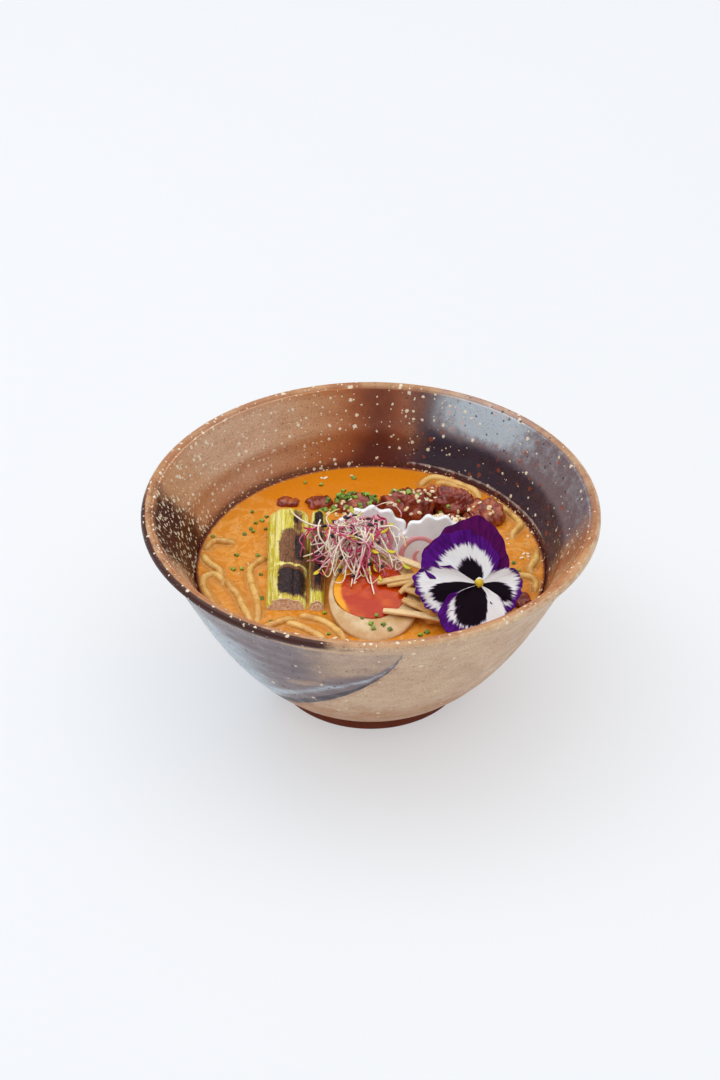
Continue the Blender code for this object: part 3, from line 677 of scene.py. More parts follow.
def outer_glaze(turn, height):
    """The glazes of the outside. The ash glaze was brushed on: its lower edge falls from the rim as a
    root curve, with a bare window in it."""
    sweep = (278 - turn) / 35
    brim = 92 - 62 * np.sqrt(np.clip(sweep, 0, None))
    above = np.where(sweep > 0, height - brim, -20)
    share = above / (3 + 12 * step(sweep, 0, 0.7))
    fade = (turn - 138 + (height - 50) * 0.35) / 28
    wash = 0.3 + 0.9 * step(sweep, 0.45, 1.1)
    ash = np.minimum(np.where(share < 1, 1.0, np.clip(2 - share, wash, 1)), above / 1.2)
    window = 1 - ((turn - 250) / 9) ** 2 - ((height - 57 + (turn - 250) * -0.5) / 4) ** 2
    deep = 2.0 * peak(share, 0.16, 0.2) + 0.3 * step(height, 70, 92)
    # Painted reflection of the light: silvery on the left of the outside, less of it near the rim
    silver_and_reflection = step(248 - turn, 0, 30) * (1 - 0.7 * step(height, 60, 84))
    return {
        "ash": np.minimum(np.minimum(ash, fade), 1 - 0.7 * np.clip(window, 0, None)),
        "iron": -1 + 0 * height,
        "rust": 0.3 * peak(above, -1.0, 1.6),
        # Darker and browner towards the foot
        "warm_and_shade": step(48 - height, 0, 38),
        "pale": 0.2 + 0.5 * step(height, 20, 60),
        "deep": deep + 0.35 * peak(share, 2.2, 0.5),
        "silver_and_reflection": silver_and_reflection + 0.7 * peak(share, 0.85, 0.18),
        "specks": 0.04 + 0.1 * step(height, 86, 94),
    }


def glaze_fields(compass, height, level, inside):
    """Where each glaze lies, by compass angle in degrees from +X, by height on the outside and by the
    point's own level in millimetres. ash, iron and rust are above 0 where they cover; deep and silver
    shift the ash, and silver is partly a painted reflection of the light; warm and pale shift the tan,
    warm partly as painted shade at the ridge and pale partly as a painted highlight on the back left of
    the inside; specks is how dense they are."""
    turn = compass % 360
    back = (turn + 180) % 360 - 180
    inner, outer = inner_glaze(turn, back, level), outer_glaze(turn, height)
    fields = {key: inner[key] * inside + outer[key] * (1 - inside) for key in inner}
    lip = inside * (1 - inside) * 4
    brink = np.clip((1 - inside) * step(height, 90, 93) + lip, 0, 1)
    lip_dark = brink * step(turn, 160, 190) * step(280 - turn, 0, 36)
    fields["ash"] = fields["ash"] - 2 * brink
    fields["iron"] = np.maximum(fields["iron"], 1.3 * lip_dark - 0.6)
    return {
        **fields,
        "inside": inside + 0 * height,
        "streaks": inside * np.clip(inner["iron"] + 0.55, 0, 1),
        "froth": inside * peak(level, 64.6, 0.9) * step(88 - back, 0, 14) * step(back, 0, 14),
        "tide": inside * peak(level, 63.2, 1.7),
        "lip": np.clip(lip + inside * step(level, 96.2, 97.2), 0, 1),
        "lip_pale": brink * (step(turn, 268, 292) + step(62 - turn, 0, 16)),
        "bare": (1 - inside) * step(6.4 + 0.4 * np.sin(np.radians(turn * 3)) - height, 0, 1.0),
    }


def tan_glaze(colours, place, inside, cloud, grain, reached):
    """Tan glaze: sandier and warmer in places, freckled, lined, and rust where it meets the ash. The
    sandier parts include a painted highlight on the back left of the inside, and the warmer ones
    painted shade at the ridge.
    """
    # Sand where pale is high: paler glaze, and on the back left of the inside a painted highlight
    inner = mixed(cloud * 0.4 + reached("pale", 0.6, -0.1, 1.2), colours.tan, colours.sand_and_highlight)
    # Browner where warm is high, which includes painted shade at the ridge
    inner = mixed(reached("warm_and_shade", 0.8, 0.1, 1.1) * 0.8, inner, shade(188, 108, 50))
    outer = mixed(ramp(cloud, 0.35, 0.7), colours.beige, shade(214, 178, 146))
    outer = mixed(reached("warm_and_shade", 0.4, 0.0, 0.6), outer, shade(196, 144, 100))
    base = mixed(inside, outer, inner)
    base = mixed(ramp(grain, 0.47, 0.69) * 0.6, base, shade(120, 66, 34))
    lines = noise(stretched(place, (0.15, 0.15, 1.4)), 1.6, 3.0, 0.6)
    base = mixed(ramp(lines, 0.48, 0.75) * 0.3, base, shade(150, 104, 72))
    base = mixed(reached("rust", 0.5, 0.0, 0.7) * 0.8, base, shade(150, 74, 36))
    return mixed(reached("rust", 0.5, 0.5, 1.2), base, colours.rust)


def ash_glaze(colours, place, field, inside, grain, mottled):
    """Blue-grey glaze with silver and dark parts, brushed outside and mottled inside; its silver is
    partly a painted reflection of the light. Gives its colour and how silver it is."""
    brushed = noise(stretched(place, (0.3, 0.3, 1.2)), 5.0, 4.0, 0.65, 0.8)
    streak = brushed * (1.0 - inside) + mottled * inside
    streak = streak * 1.5 - 0.75
    silver_and_reflection = ramp(field("silver_and_reflection") + streak, 0.1, 1.0)
    deep = ramp(streak * 0.5 + field("deep"), 0.15, 0.95)
    ash = mixed(silver_and_reflection, colours.ash, colours.silver_and_reflection)
    ash = mixed(deep, ash, colours.deep)
    return mixed(ramp(grain, 0.45, 0.7) * 0.25, ash, shade(60, 40, 44)), silver_and_reflection


def cream_specks(loose, field):
    """Specks of two sizes, which run down the wall where the glaze is dark with iron."""
    dense = field("specks")
    cream = calc("MAXIMUM", specks(loose, 3.6, dense * 1.2), specks(loose, 2.0, dense * 0.7))
    falling = stretched(loose, (1.0, 1.0, 0.42))
    runs = calc("MAXIMUM", specks(falling, 2.0, 1.0), specks(falling, 3.0, 0.9))
    return calc("MAXIMUM", cream, runs * ramp(field("streaks"), 0.1, 0.6))


def stoneware_finish(colours):
    """Tan glaze with rust, iron and brushed blue-grey ash, cream specks, dark pinholes and bare clay."""
    material, shader, place, field = new_finish("stoneware", ior=1.5, specular_ior_level=0.42)
    cloud = noise(place, 18.0, 4.0, 0.6)
    grain = noise(place, 0.6, 3.0, 0.7)
    mottled = noise(place, 5.0, 6.0, 0.72)
    ragged = noise(place, 9.0, 5.0, 0.6) - 0.5
    inside = field("inside")

    def reached(name, sway, low, high):
        """A field, shifted by ragged noise, as a mask between two of its values."""
        return ramp(ragged * sway + field(name), low, high)

    base = tan_glaze(colours, place, inside, cloud, grain, reached)
    ash, silver_and_reflection = ash_glaze(colours, place, field, inside, grain, mottled)
    covered = reached("ash", 0.45, -0.1, 0.9)
    base = mixed(covered, base, ash)
    lip = mixed(ramp(cloud, 0.4, 0.6), shade(206, 158, 112), shade(176, 116, 74))
    base = mixed(ramp(field("lip"), 0.2, 0.8) * 0.75, base, lip)
    washed = ramp(mottled * 1.6 + field("lip_pale"), 1.5, 2.1)
    base = mixed(washed * 0.75, base, shade(226, 198, 164))
    base = mixed(reached("iron", 0.9, -0.25, 0.4), base, colours.iron)
    base = mixed(field("tide") * 0.8, base, shade(88, 30, 12))

    # Noise moves the specks' cells, so that their edges are ragged; some in the ash are rust red
    shift = noise(place, 1 / 0.9, 2.0, 0.5, output="Color")
    loose = add(place.tree, "VectorMath", {0: place, 1: shift}, operation="ADD")
    cream = cream_specks(loose, field)
    base = mixed(cream * 0.9, base, colours.speck)
    pin = specks(loose, 2.6, 0.22) * (covered * 0.7 + 0.3)
    pins = calc("MAXIMUM", pin, specks(place, 1.2, 0.2) * 0.6)
    base = mixed(pins * 0.7, base, (0.03, 0.012, 0.01))
    dots = specks(loose, 4.4, 0.5) * inside * (covered * 0.8)
    base = mixed(dots, base, mixed(silver_and_reflection, shade(150, 72, 48), shade(206, 190, 190)))
    foam = ramp(mottled * 1.2 + field("froth"), 1.1, 1.5)
    base = mixed(foam * 0.8, base, shade(206, 190, 178))
    froth = specks(place, 1.5, 0.6) * ramp(field("tide"), 0.2, 0.8)
    base = mixed(froth, base, shade(226, 176, 126))

    clay = mixed(ramp(grain, 0.3, 0.75), [c * 0.6 for c in colours.bare], colours.bare)
    base = mixed(field("bare"), base, clay)
    gloss = field("bare") * 0.35 + (covered * -0.12 + uneven(place, 9.0, 0.34, 0.5))
    dress(shader, base, gloss, pins * -0.8 + (grain * 0.4 + cream * 0.5), 0.25)
    return material


def build_bowl(settings):
    """The bowl: its section swept round Z in fine steps, with faint throwing rings and fields for
    the glazes. The rings and the hand's unevenness only ever take away from the section."""
    bowl = Bowl(settings)
    radius, height, inside = bowl_section(bowl)
    columns = 480
    turn = np.linspace(0, 360, columns, endpoint=False)[None]
    radius, height, inside = radius[:, None], height[:, None] + 0 * turn, inside[:, None] + 0 * turn
    angle = np.radians(turn)
    walls = step(height, bowl.foot_height + 2, bowl.foot_height + 12) * (1 - inside)
    rings = 0.12 * (1 + np.sin(height * 0.85 + 0.8 * np.sin(angle + 1)))
    hand = 0.25 * (1 + np.sin(2 * angle + 0.7)) * (height / bowl.height) ** 2
    radius = radius - (rings + hand) * walls * (1 - step(height, 88, 92))
    dip = 0.2 * (1 + np.sin(2 * angle + 1.9)) * step(height, 85, 94)
    points = round_z(radius, angle, height - dip)
    fields = glaze_fields(turn + 0 * height, height, height - dip, inside)
    shape = skin(points, **fields)
    make_piece("stoneware_bowl", shape, stoneware_finish(settings), ["bowl"], 50)


# Noodles and soup

NOODLES = [
    # Millimetres across and away, along each strand's stretch at the surface
    [(-77, 13), (-74, 17.5), (-67, 17)],
    [(-78, 5), (-75.5, 0.5), (-70.5, -5)],
    [(-72, -30), (-76, -21), (-77.5, -12), (-73, -8), (-68.5, -13)],
    [(-66, -15), (-61, -24), (-58, -33), (-55, -41)],
    [(-50, 4), (-56, -4), (-55, -15), (-52.5, -25), (-51, -38)],
    [(-49, -49), (-43, -45), (-37, -42)],
    [(-36, -45), (-29, -49), (-23, -54)],
    [(-30, -40), (-22, -43), (-16, -49), (-13, -54)],
    [(26, 66), (31, 71), (38, 69), (45.5, 64), (52, 58)],
    [(35, 66), (41, 64), (47, 58)],
    [(62, 48), (65.5, 43.5), (69, 38), (72, 31), (68, 24)],
    [(78, 10), (77.5, 4), (74.5, -3)],
    [(75.5, -19), (76, -13), (72, -9.5), (66.5, -10)],
]
STRAND_LIFT = 0.3
STRAND_REACH = 78.5
HEAP_REACH = 50
HEAP_TOP = 44
HEAP_SECTION = [(4, HEAP_TOP), (46, HEAP_TOP - 3), (60, 36), (54, 27), (40, 17), (4, 16)]


def drawn_in(point, reach):
    """The point, moved towards the bowl's axis where it lies further out than the reach."""
    pull = min(1, reach / math.hypot(point[0], point[1]))
    return np.array([point[0] * pull, point[1] * pull, point[2]])


def strand_knots(flat_route, level):
    """A strand at the surface: its first end dips under, and its last goes down to the sunk heap."""
    knots = np.array([(x, y, level + STRAND_LIFT) for x, y in flat_route], float)
    back = unit(knots[0] - knots[1]) * 2
    onward = unit(knots[-1] - knots[-2]) * 5
    dip = drawn_in(knots[0] + back - (0, 0, 2.4), STRAND_REACH)
    bend = drawn_in(knots[-1] + onward - (0, 0, 6), STRAND_REACH - 6)
    root = drawn_in(np.array([knots[-1][0], knots[-1][1], HEAP_TOP - 9]), HEAP_REACH)
    return np.vstack([dip, knots, bend, root])


def noodle_finish(colours):
    """Wet wheat noodle: cream, a little darker in patches and paler in smaller ones, with a faint grain."""
    material, shader, place, _ = new_finish("noodle", roughness=0.3, specular_ior_level=0.5)
    base = mixed(ramp(noise(place, 6.0), 0.3, 0.7), shade(200, 138, 54), colours.noodle)
    thin = ramp(noise(place, 1.2), 0.45, 0.8) * 0.3
    base = mixed(thin, base, shade(240, 206, 150))
    dress(shader, base, uneven(place, 3.0, 0.22, 0.42), noise(place, 0.8), 0.12)
    soft(shader, 0.1, 1.5)
    return material


def build_noodles(settings):
    """Strands: a slightly squared round profile along Catmull-Rom routes. The sunk heap: a turned
    mound whose surface swells where coils of strands lie."""
    level = settings.level / MM
    radius = settings.noodle_radius / MM
    shapes = []
    for number, flat_route in enumerate(NOODLES):
        line = route(strand_knots(flat_route, level), 8)
        swell = radius * (1.06 + 0.06 * waves(line, 9, number))
        shapes.append(tube(line, swell, 12, power=2.6))
    corner = np.arange(len(HEAP_SECTION))
    share = np.linspace(0, corner[-1], 90)
    profile = np.stack([np.interp(share, corner, side) for side in np.array(HEAP_SECTION, float).T], -1)
    heap = turned(profile, 160, along=0.5)
    away = np.hypot(heap.points[:, 0], heap.points[:, 1])
    coil = np.abs(np.sin(away * 0.95 + waves(heap.points, 30, 5) * 6))
    heap.points[:, 2] -= (1 - coil) * 0.9
    shapes.append(heap)
    make_piece("noodle_strands", joined(shapes), noodle_finish(settings), ["noodles"], 60)


def soup_finish(colours):
    """Creamy amber soup: milky wisps, shade beside the noodles, a dark brim line, and a wet shine."""
    material, shader, place, field = new_finish("soup", ior=1.36, specular_ior_level=0.4)
    drift = noise(place, 26.0, 2.0)
    swirl = noise(place, 12.0, 6.0, 0.64, 1.2)
    fold = abs(swirl - 0.5)
    wisp = ramp(fold, 0.09, 0.0)
    fine = noise(place, 2.2, 4.0, 0.65, 0.8)
    amount = drift * 1.2 + (field("milk") - 0.6)
    body = mixed(ramp(amount, 0.0, 1.2, 0.0, 0.55), colours.amber, colours.milk)
    milk = wisp * ramp(amount, 0.0, 0.7)
    milk = milk * ramp(fine, 0.3, 0.6)
    base = mixed(milk * 0.7, body, shade(234, 172, 92))
    base = mixed(ramp(fine, 0.5, 0.8) * 0.22, base, colours.deep)
    base = mixed(field("beside") * 0.45, base, colours.deep)
    base = mixed(field("over") * 0.6, base, colours.noodle)
    brim = ramp(fine * 1.4 + field("edge"), 2.6, 1.0)
    base = mixed(brim, base, colours.brim)
    fleck = specks(place, 2.2, 0.16)
    base = mixed(fleck * 0.4, base, shade(226, 160, 80))
    oil = specks(place, 5.2, 0.2) * 0.35
    base = mixed(oil, base, shade(200, 96, 8))
    dress(shader, base, uneven(place, 8.0, 0.12, 0.26), fine * 0.5 + swirl, 0.25)
    return material


def build_soup(settings, bowl):
    """The soup's body. Its top is a polar grid: level + meniscus x exp(-gap to the wall / 1.2) + small
    waves + a rise over each strand that falls off with the square of the distance."""
    level = settings.level / MM
    climb = settings.meniscus / MM
    gap = 0.3
    edge = bowl.inner_radius(level) - gap
    shares = np.concatenate([np.linspace(0.02, 0.93, 100), np.linspace(0.935, 1, 22)])
    columns = 360
    angle = circle(columns)
    radius = (edge * shares)[:, None] + 0 * angle
    flat = round_z(radius, angle, 0 * radius)
    gaps = np.full(radius.shape, 1e9)
    for flat_route in NOODLES:
        for dot in route([(x, y, 0) for x, y in flat_route], 10):
            gaps = np.minimum(gaps, ((flat - dot) ** 2).sum(-1))
    over = np.exp(-gaps / 2.2 ** 2)
    beside = peak(np.sqrt(gaps), 2.7, 1.1)
    away = edge - radius
    top = level + climb * np.exp(-away / 1.2) + 0.1 * waves(flat, 11, 2) + 0.55 * over
    flat[..., 2] = top
    x, y = flat[..., 0], flat[..., 1]
    milk = 0.75 * step(-x - y * 0.3, 10, 50) + 0.4 * step(-y, 20, 60) + 0.35 * step(x, 40, 70)
    milk = milk + 0.3 - 0.7 * step(y, 34, 60)
    heights = np.linspace(level + climb - 4, bowl.floor + 1.2, 14)
    side = np.stack([bowl.inner_radius(heights) - gap, heights], -1)
    last = np.array([(bowl.inner_radius(bowl.floor) - 7, bowl.floor + gap), (6, bowl.floor + gap)])
    below = np.vstack([side, last])
    wall = round_z(below[:, :1], angle, below[:, 1:])
    lower = np.zeros((len(below), columns))
    shape = skin(
        np.concatenate([flat, wall]),
        milk=np.concatenate([milk, lower]), over=np.concatenate([over, lower]),
        beside=np.concatenate([beside, lower]), edge=np.concatenate([away, lower]))
    make_piece("soup", shape, soup_finish(settings), ["broth"])


def bubble_finish():
    """Tiny bubbles of oil and foam."""
    material, shader, _, field = new_finish("bubbles", roughness=0.08, ior=1.36)
    base = mixed(ramp(field("tone"), 0.2, 0.8), shade(236, 200, 150), shade(196, 120, 50))
    put(shader, {"Base Color": base})
    soft(shader, 0.3, 1.0)
    return material


def build_bubbles(settings, bowl):
    """Bubbles along the back of the soup's edge and a few on its surface, half sunk."""
    draw = np.random.default_rng(81)
    level = settings.level / MM
    edge = bowl.inner_radius(level)
    turn = np.radians(np.concatenate([
        draw.uniform(15, 75, 70), draw.uniform(80, 150, 24), draw.uniform(-25, 10, 20)]))
    reach = edge - draw.uniform(0.4, 1.8, len(turn))
    rim_spots = np.stack([reach * np.cos(turn), reach * np.sin(turn)], -1)
    spots = np.vstack([
        rim_spots, scatter(draw, 30, (-62, 0), (14, 34)), scatter(draw, 16, (72, 4), (8, 24))])
    places, normals = dropped(landing(["soup"]), spots)
    size = draw.uniform(0.22, 0.6, len(places))
    shape = copies(
        ball((1, 1, 0.7), 5, 10), places, lying(normals, draw.uniform(0, math.tau, len(places))),
        size, draw.random(len(places)))
    make_piece("soup_bubbles", shape, bubble_finish(), ())


# Leek

LEEK_MIDDLE = (-2.5, 63.2)
LEEK_TILT = 5.8
LEEK_HALF_LENGTH = 31.5


def leek_finish(colours):
    """Grilled leek: yellow-green with pale lines along it, browned and burnt on top, and pale,
    finely layered ends."""
    material, shader, place, field = new_finish("leek", specular_ior_level=0.4)
    lines = fibres(place, 0.9, 30.0)
    thin = fibres(place, 0.35, 18.0)
    base = mixed(ramp(lines, 0.42, 0.66), colours.leek, colours.leek_pale)
    base = mixed(ramp(thin, 0.35, 0.7) * 0.45, base, shade(168, 150, 30))
    base = mixed(ramp(field("pale"), 0.2, 0.9), base, colours.leek_pale)
    ragged = noise(place, 3.4, 5.0, 0.65) * 2.0 - 1.0
    combed = thin * 0.7 - 0.35
    worn = ragged + combed
    brown = ramp(field("brown") + worn, 0.0, 0.7)
    tone = mixed(ramp(thin, 0.35, 0.65), colours.leek_brown, shade(76, 32, 24))
    base = mixed(brown * 0.94, base, tone)
    burnt = ramp(field("burnt") + worn, 0.1, 1.0)
    charred = mixed(ramp(noise(place, 1.8, 4.0, 0.7), 0.42, 0.66), colours.char, shade(66, 34, 34))
    base = mixed(burnt, base, charred)
    end = field("end")
    layers = ramp(noise(place, 1.1, 4.0, 0.6), 0.4, 0.6)
    cut = mixed(layers, shade(252, 232, 206), shade(236, 190, 152))
    base = mixed(end, base, cut)
    pepper = specks(place, 1.4, 0.16) * 0.8
    base = mixed(pepper, base, (0.03, 0.02, 0.02))
    gloss = uneven(place, 4.0, 0.3, 0.5) - burnt * 0.18
    relief = thin * 0.7 + layers * (end * 0.4)
    crust = noise(place, 0.9, 4.0) * burnt * 1.4
    dress(shader, base, gloss, relief + crust, 0.45)
    return material


def leek_shape(centre_x, half_width, half_height, folds, char):
    """A pressed drum: rows along Y, columns round it. Its section is a superellipse whose radius
    swells and dips with folds lines along it, sways along its length, and closes over each end in
    rings, as the layers of a leek do. The end near the eater is cut on a slant. char gives brown,
    burnt and pale fields from x and y."""
    rings, rows = 7, 110
    along = np.concatenate([np.full(rings, -1.0), np.linspace(-1, 1, rows), np.full(rings, 1.0)])
    shrink = np.concatenate([
        np.linspace(0.12, 0.96, rings), np.ones(rows), np.linspace(0.96, 0.12, rings)])
    along, shrink = along[:, None], shrink[:, None]
    turn = circle(120)[None]
    reach = squared(turn, 2.5)
    fold = np.clip(np.cos(turn * folds + 0.7 + 0.3 * np.sin(along * 2)), 0, 1) ** 6
    fine = 0.012 * np.sin(turn * 37 + np.sin(along * 3) * 1.3) + 0.01 * np.sin(turn * 61 + 2)
    sway = 1 + 0.04 * np.sin(along * LEEK_HALF_LENGTH * 0.09 + centre_x * 0.5)
    rounding = 1 - 0.06 * np.abs(along) ** 24
    size = reach * shrink * sway * rounding * (1 - 0.09 * fold + fine)
    end = (shrink < 1) * (0.8 * np.sin(shrink * 22) + 1.2 * (1 - shrink))
    bulge = np.sign(along) * end * (np.abs(along) >= 1)
    x = size * np.cos(turn) * half_width
    z = size * np.sin(turn) * half_height
    slant = (0.32 * (z + half_height) - 3.4) * step(-along, 0.8, 1.0)
    y = along * LEEK_HALF_LENGTH + bulge * 0.5 + slant
    local = np.stack([x, y, z], -1)
    points = local @ tilt(LEEK_TILT).T + (centre_x, *LEEK_MIDDLE)
    top = step(points[..., 2] - (points[..., 2].min(1, keepdims=True) + half_height), -2, 3)
    brown, burnt, pale = char(points[..., 0], points[..., 1])
    face = (shrink < 0.99) + 0 * turn
    return skin(points, brown=brown * top, burnt=burnt * top, pale=pale, end=face)


def patch(x, y, centre, half):
    """1 in the middle of a rounded rectangle, 0 on its edge, and below 0 beyond: a superellipse of the
    fourth power."""
    return 1 - ((x - centre[0]) / half[0]) ** 4 - ((y - centre[1]) / half[1]) ** 4


def large_leek_char(x, y):
    """A burnt block near the eater, a browned one behind it with a pale band between, and streaks."""
    band = peak(y, -10.0, 1.1)
    brown = np.maximum.reduce([
        1.7 * patch(x, y, (-35.8, -1), (7.2, 15)), 0.9 * patch(x, y, (-34.2, 20), (2.4, 9)),
        1.2 * patch(x, y, (-36.0, -21), (7.4, 11))])
    burnt = np.maximum.reduce([
        2.0 * patch(x, y, (-36.4, -21.5), (6.6, 9.6)), 1.3 * patch(x, y, (-33.2, 1.5), (2.3, 10)),
        0.2 * patch(x, y, (-36.6, 2), (4.6, 10)), 0.9 * patch(x, y, (-35.2, 21), (1.3, 4.5))])
    pale = 0.8 * peak(x, -43.6, 1.2) * step(y, -14, 0) + band * 0.6
    pale = pale + 1.1 * peak(x, -30.2, 0.8) + 0.7 * peak(x, -41.0, 0.8)
    return brown - band * 1.5, burnt - band * 3, pale


def small_leek_char(x, y):
    """Browned all along, with a long burnt band near the eater and a spot at the far end."""
    brown = 1.6 * patch(x, y, (-24.6, -3), (3.6, 26))
    burnt = np.maximum.reduce([
        1.5 * patch(x, y, (-24.2, -8), (1.7, 17)), 1.6 * patch(x, y, (-24.4, 22.5), (2.2, 5.2)),
        0.6 * patch(x, y, (-26.6, 0), (0.8, 18))])
    return brown, burnt, 0.9 * peak(x, -27.2, 0.7)


LEEKS = [
    # Node, middle across, half width, half height, folds, and where it is charred
    ("leek_large", -38.6, 9.4, 8.2, 5, large_leek_char),
    ("leek_small", -24.7, 3.8, 7.4, 3, small_leek_char),
]


def build_leeks(colours):
    """The two lengths of leek, side by side."""
    finish = leek_finish(colours)
    for node, centre_x, half_width, half_height, folds, char in LEEKS:
        shape = leek_shape(centre_x, half_width, half_height, folds, char)
        make_piece("grilled_" + node, shape, finish, [node], 60)


# Egg

EGG_FRONT = np.array([1.5, -56.8, 62.3])
EGG_TILT = 13
EGG_HALF_LENGTH = 28
EGG_HALF_WIDTH = 20.75
EGG_DEPTH = 18.5
EGG_BROAD = 0.08
YOLK_RADIUS = 17
YOLK_DEPTH = 12
YOLK_GAP = 0.2
YOLK_PLACE = (-1.8, 29.5, 0)


def egg_white_finish(colours):
    """Cooked egg white, tanned at the edge and over its round outside, slightly clear. The tan on the
    round outside is partly painted shade.
    """
    material, shader, place, field = new_finish("egg_white", specular_ior_level=0.5)
    cloud = noise(place, 7.0, 4.0)
    # Soy stain and painted shade: the tan grows over the round outside, which lies in shadow
    stain_and_shade = ramp(cloud * 0.6 + field("skin"), 0.4, 1.2)
    base = mixed(ramp(cloud, 0.35, 0.7), colours.egg_white, shade(228, 202, 160))
    base = mixed(stain_and_shade, base, shade(196, 134, 72))
    dress(shader, base, uneven(place, 5.0, 0.18, 0.34), noise(place, 2.0), 0.12)
    soft(shader, 0.12, 2.0, (1.0, 0.7, 0.45))
    return material


def yolk_finish(colours):
    """Soft yolk: clear orange-red in the middle, set and yellow at its left edge, wet on top."""
    material, shader, place, field = new_finish(
        "egg_yolk", specular_ior_level=0.2, coat_weight=0.3, coat_roughness=0.06)
    ragged = noise(place, 4.0, 4.0, 0.6) * 0.5 - 0.25
    rim = ramp(field("rim") + ragged, 0.35, 0.8)
    depth = noise(place, 9.0)
    middle = mixed(ramp(depth, 0.35, 0.7), colours.yolk, shade(210, 86, 2))
    base = mixed(rim, middle, colours.yolk_rim)
    creased = noise(stretched(place, (0.5, 1.2, 1.0)), 4.0, 3.0, 0.5, 1.2)
    dress(shader, base, uneven(place, 5.0, 0.1, 0.24), creased, 0.6)
    return material


def ellipsoid_ring(turn, drop, length, width, depth):
    """A ring of the lower half of an ellipsoid, at a drop angle below its cut face."""
    return np.stack(np.broadcast_arrays(
        np.cos(turn) * np.cos(drop) * width, -np.sin(turn) * np.cos(drop) * length,
        -np.sin(drop) * depth), -1)


def laid_egg(points):
    """Points of the egg half, moved from its own frame to where it lies in the bowl."""
    return points @ tilt(EGG_TILT).T + EGG_FRONT


def egg_white_shape(turn):
    """A polar sheet from the yolk's hollow over the cut face, round the cut edge and down half an
    ellipsoid that is wider towards the front."""
    def outer(drop):
        """A ring of the egg's outside."""
        width = 1 + EGG_BROAD * np.sin(turn) * np.cos(drop)
        ring = ellipsoid_ring(turn, drop, EGG_HALF_LENGTH, EGG_HALF_WIDTH * width, EGG_DEPTH * width)
        return ring + (0, EGG_HALF_LENGTH, 0)

    def hollow(drop):
        """A ring of the slightly uneven hollow that the yolk fills."""
        radius = YOLK_RADIUS * (1 + 0.015 * np.sin(turn * 5 + 1))
        return ellipsoid_ring(turn, drop, radius, radius, YOLK_DEPTH) + YOLK_PLACE

    inner_rows, face_rows, outer_rows = 14, 12, 36
    share = np.linspace(0.05, 0.93, face_rows)[:, None, None]
    face = hollow(0.0) + (outer(0.0) - hollow(0.0)) * share
    face[..., 2:] += 0.5 * np.sin(math.pi * share) ** 0.7
    points = np.concatenate([
        hollow(np.radians(np.linspace(84, 0, inner_rows))[:, None]), face,
        outer(np.radians(np.linspace(1.5, 86, outer_rows))[:, None])])
    # Tan: none in the hollow, rising across the cut face, most over the outside, where it is partly painted
    # shade
    tanned = np.concatenate([
        np.zeros(inner_rows), np.linspace(0, 0.45, face_rows), np.linspace(0.5, 1, outer_rows)])
    return skin(laid_egg(points), skin=tanned[:, None])


def yolk_shape(turn):
    """A dome with faint rings on top of half an ellipsoid, just inside the white's hollow."""
    radius, depth = YOLK_RADIUS - YOLK_GAP, YOLK_DEPTH - YOLK_GAP
    shares = np.linspace(0.03, 0.985, 40)[:, None]
    rings = 0.16 * np.sin(shares * 16 + 0.8 * np.sin(turn * 2)) * (1 - shares)
    top = round_z(shares * radius, -turn, 0.55 * (1 - shares ** 4) + rings)
    drops = np.radians(np.linspace(2, 86, 18))[:, None]
    points = np.concatenate([top, ellipsoid_ring(turn, drops, radius, radius, depth)]) + YOLK_PLACE
    left = step(-np.cos(turn - 0.3), -0.1, 0.9)
    rim = np.concatenate([step(shares, 0.62, 1.0) * (0.1 + 1.1 * left), 0 * drops + 0.6 + 0 * turn])
    return skin(laid_egg(points), rim=rim)


def build_egg(colours):
    """The egg half: the white, and the yolk in its hollow."""
    turn = circle(160)[None]
    white, yolk = egg_white_finish(colours), yolk_finish(colours)
    make_piece("egg_white_half", egg_white_shape(turn), white, ["egg_white"], 50)
    make_piece("egg_yolk_half", yolk_shape(turn), yolk, ["egg_yolk"], 50)


# Fish cake

SLICE_LEAN = 70
SLICE_RADIUS = 20
SLICE_HALF = 1.9
SLICE_LOBES = 14
SLICE_LOBE_DEPTH = 0.9
FISH_CAKES = [
    # Side, centre, spin, and in the slice's plane its swirl's middle and the angle that it starts at
    ("left", np.array([0.2, 8.3, 66.8]), 0.2, (0.0, 3.0), -0.68),
    ("right", np.array([30, 2.8, 65.6]), 2.2, (-6.0, 0.5), 2.22),
]


def fish_cake_finish(name, base_colour):
    """Smooth, slightly clear fish paste with a fine, faint grain."""
    material, shader, place, _ = new_finish(name, specular_ior_level=0.4)
    base = mixed(ramp(noise(place, 5.0), 0.35, 0.7), base_colour, [c * 0.94 for c in base_colour])
    dress(shader, base, uneven(place, 4.0, 0.3, 0.45), noise(place, 0.6), 0.06)
    soft(shader, 0.12, 1.5, (1.0, 0.75, 0.6))
    return material


def slice_frame(centre, spin):
    """Turns and moves a slice from its own plane to where it stands in the soup, leaning back."""
    c, s = math.cos(spin), math.sin(spin)
    own = np.array([[c, -s, 0], [s, c, 0], [0, 0, 1]])
    return lambda points: points @ own.T @ tilt(SLICE_LEAN).T + np.array(centre)


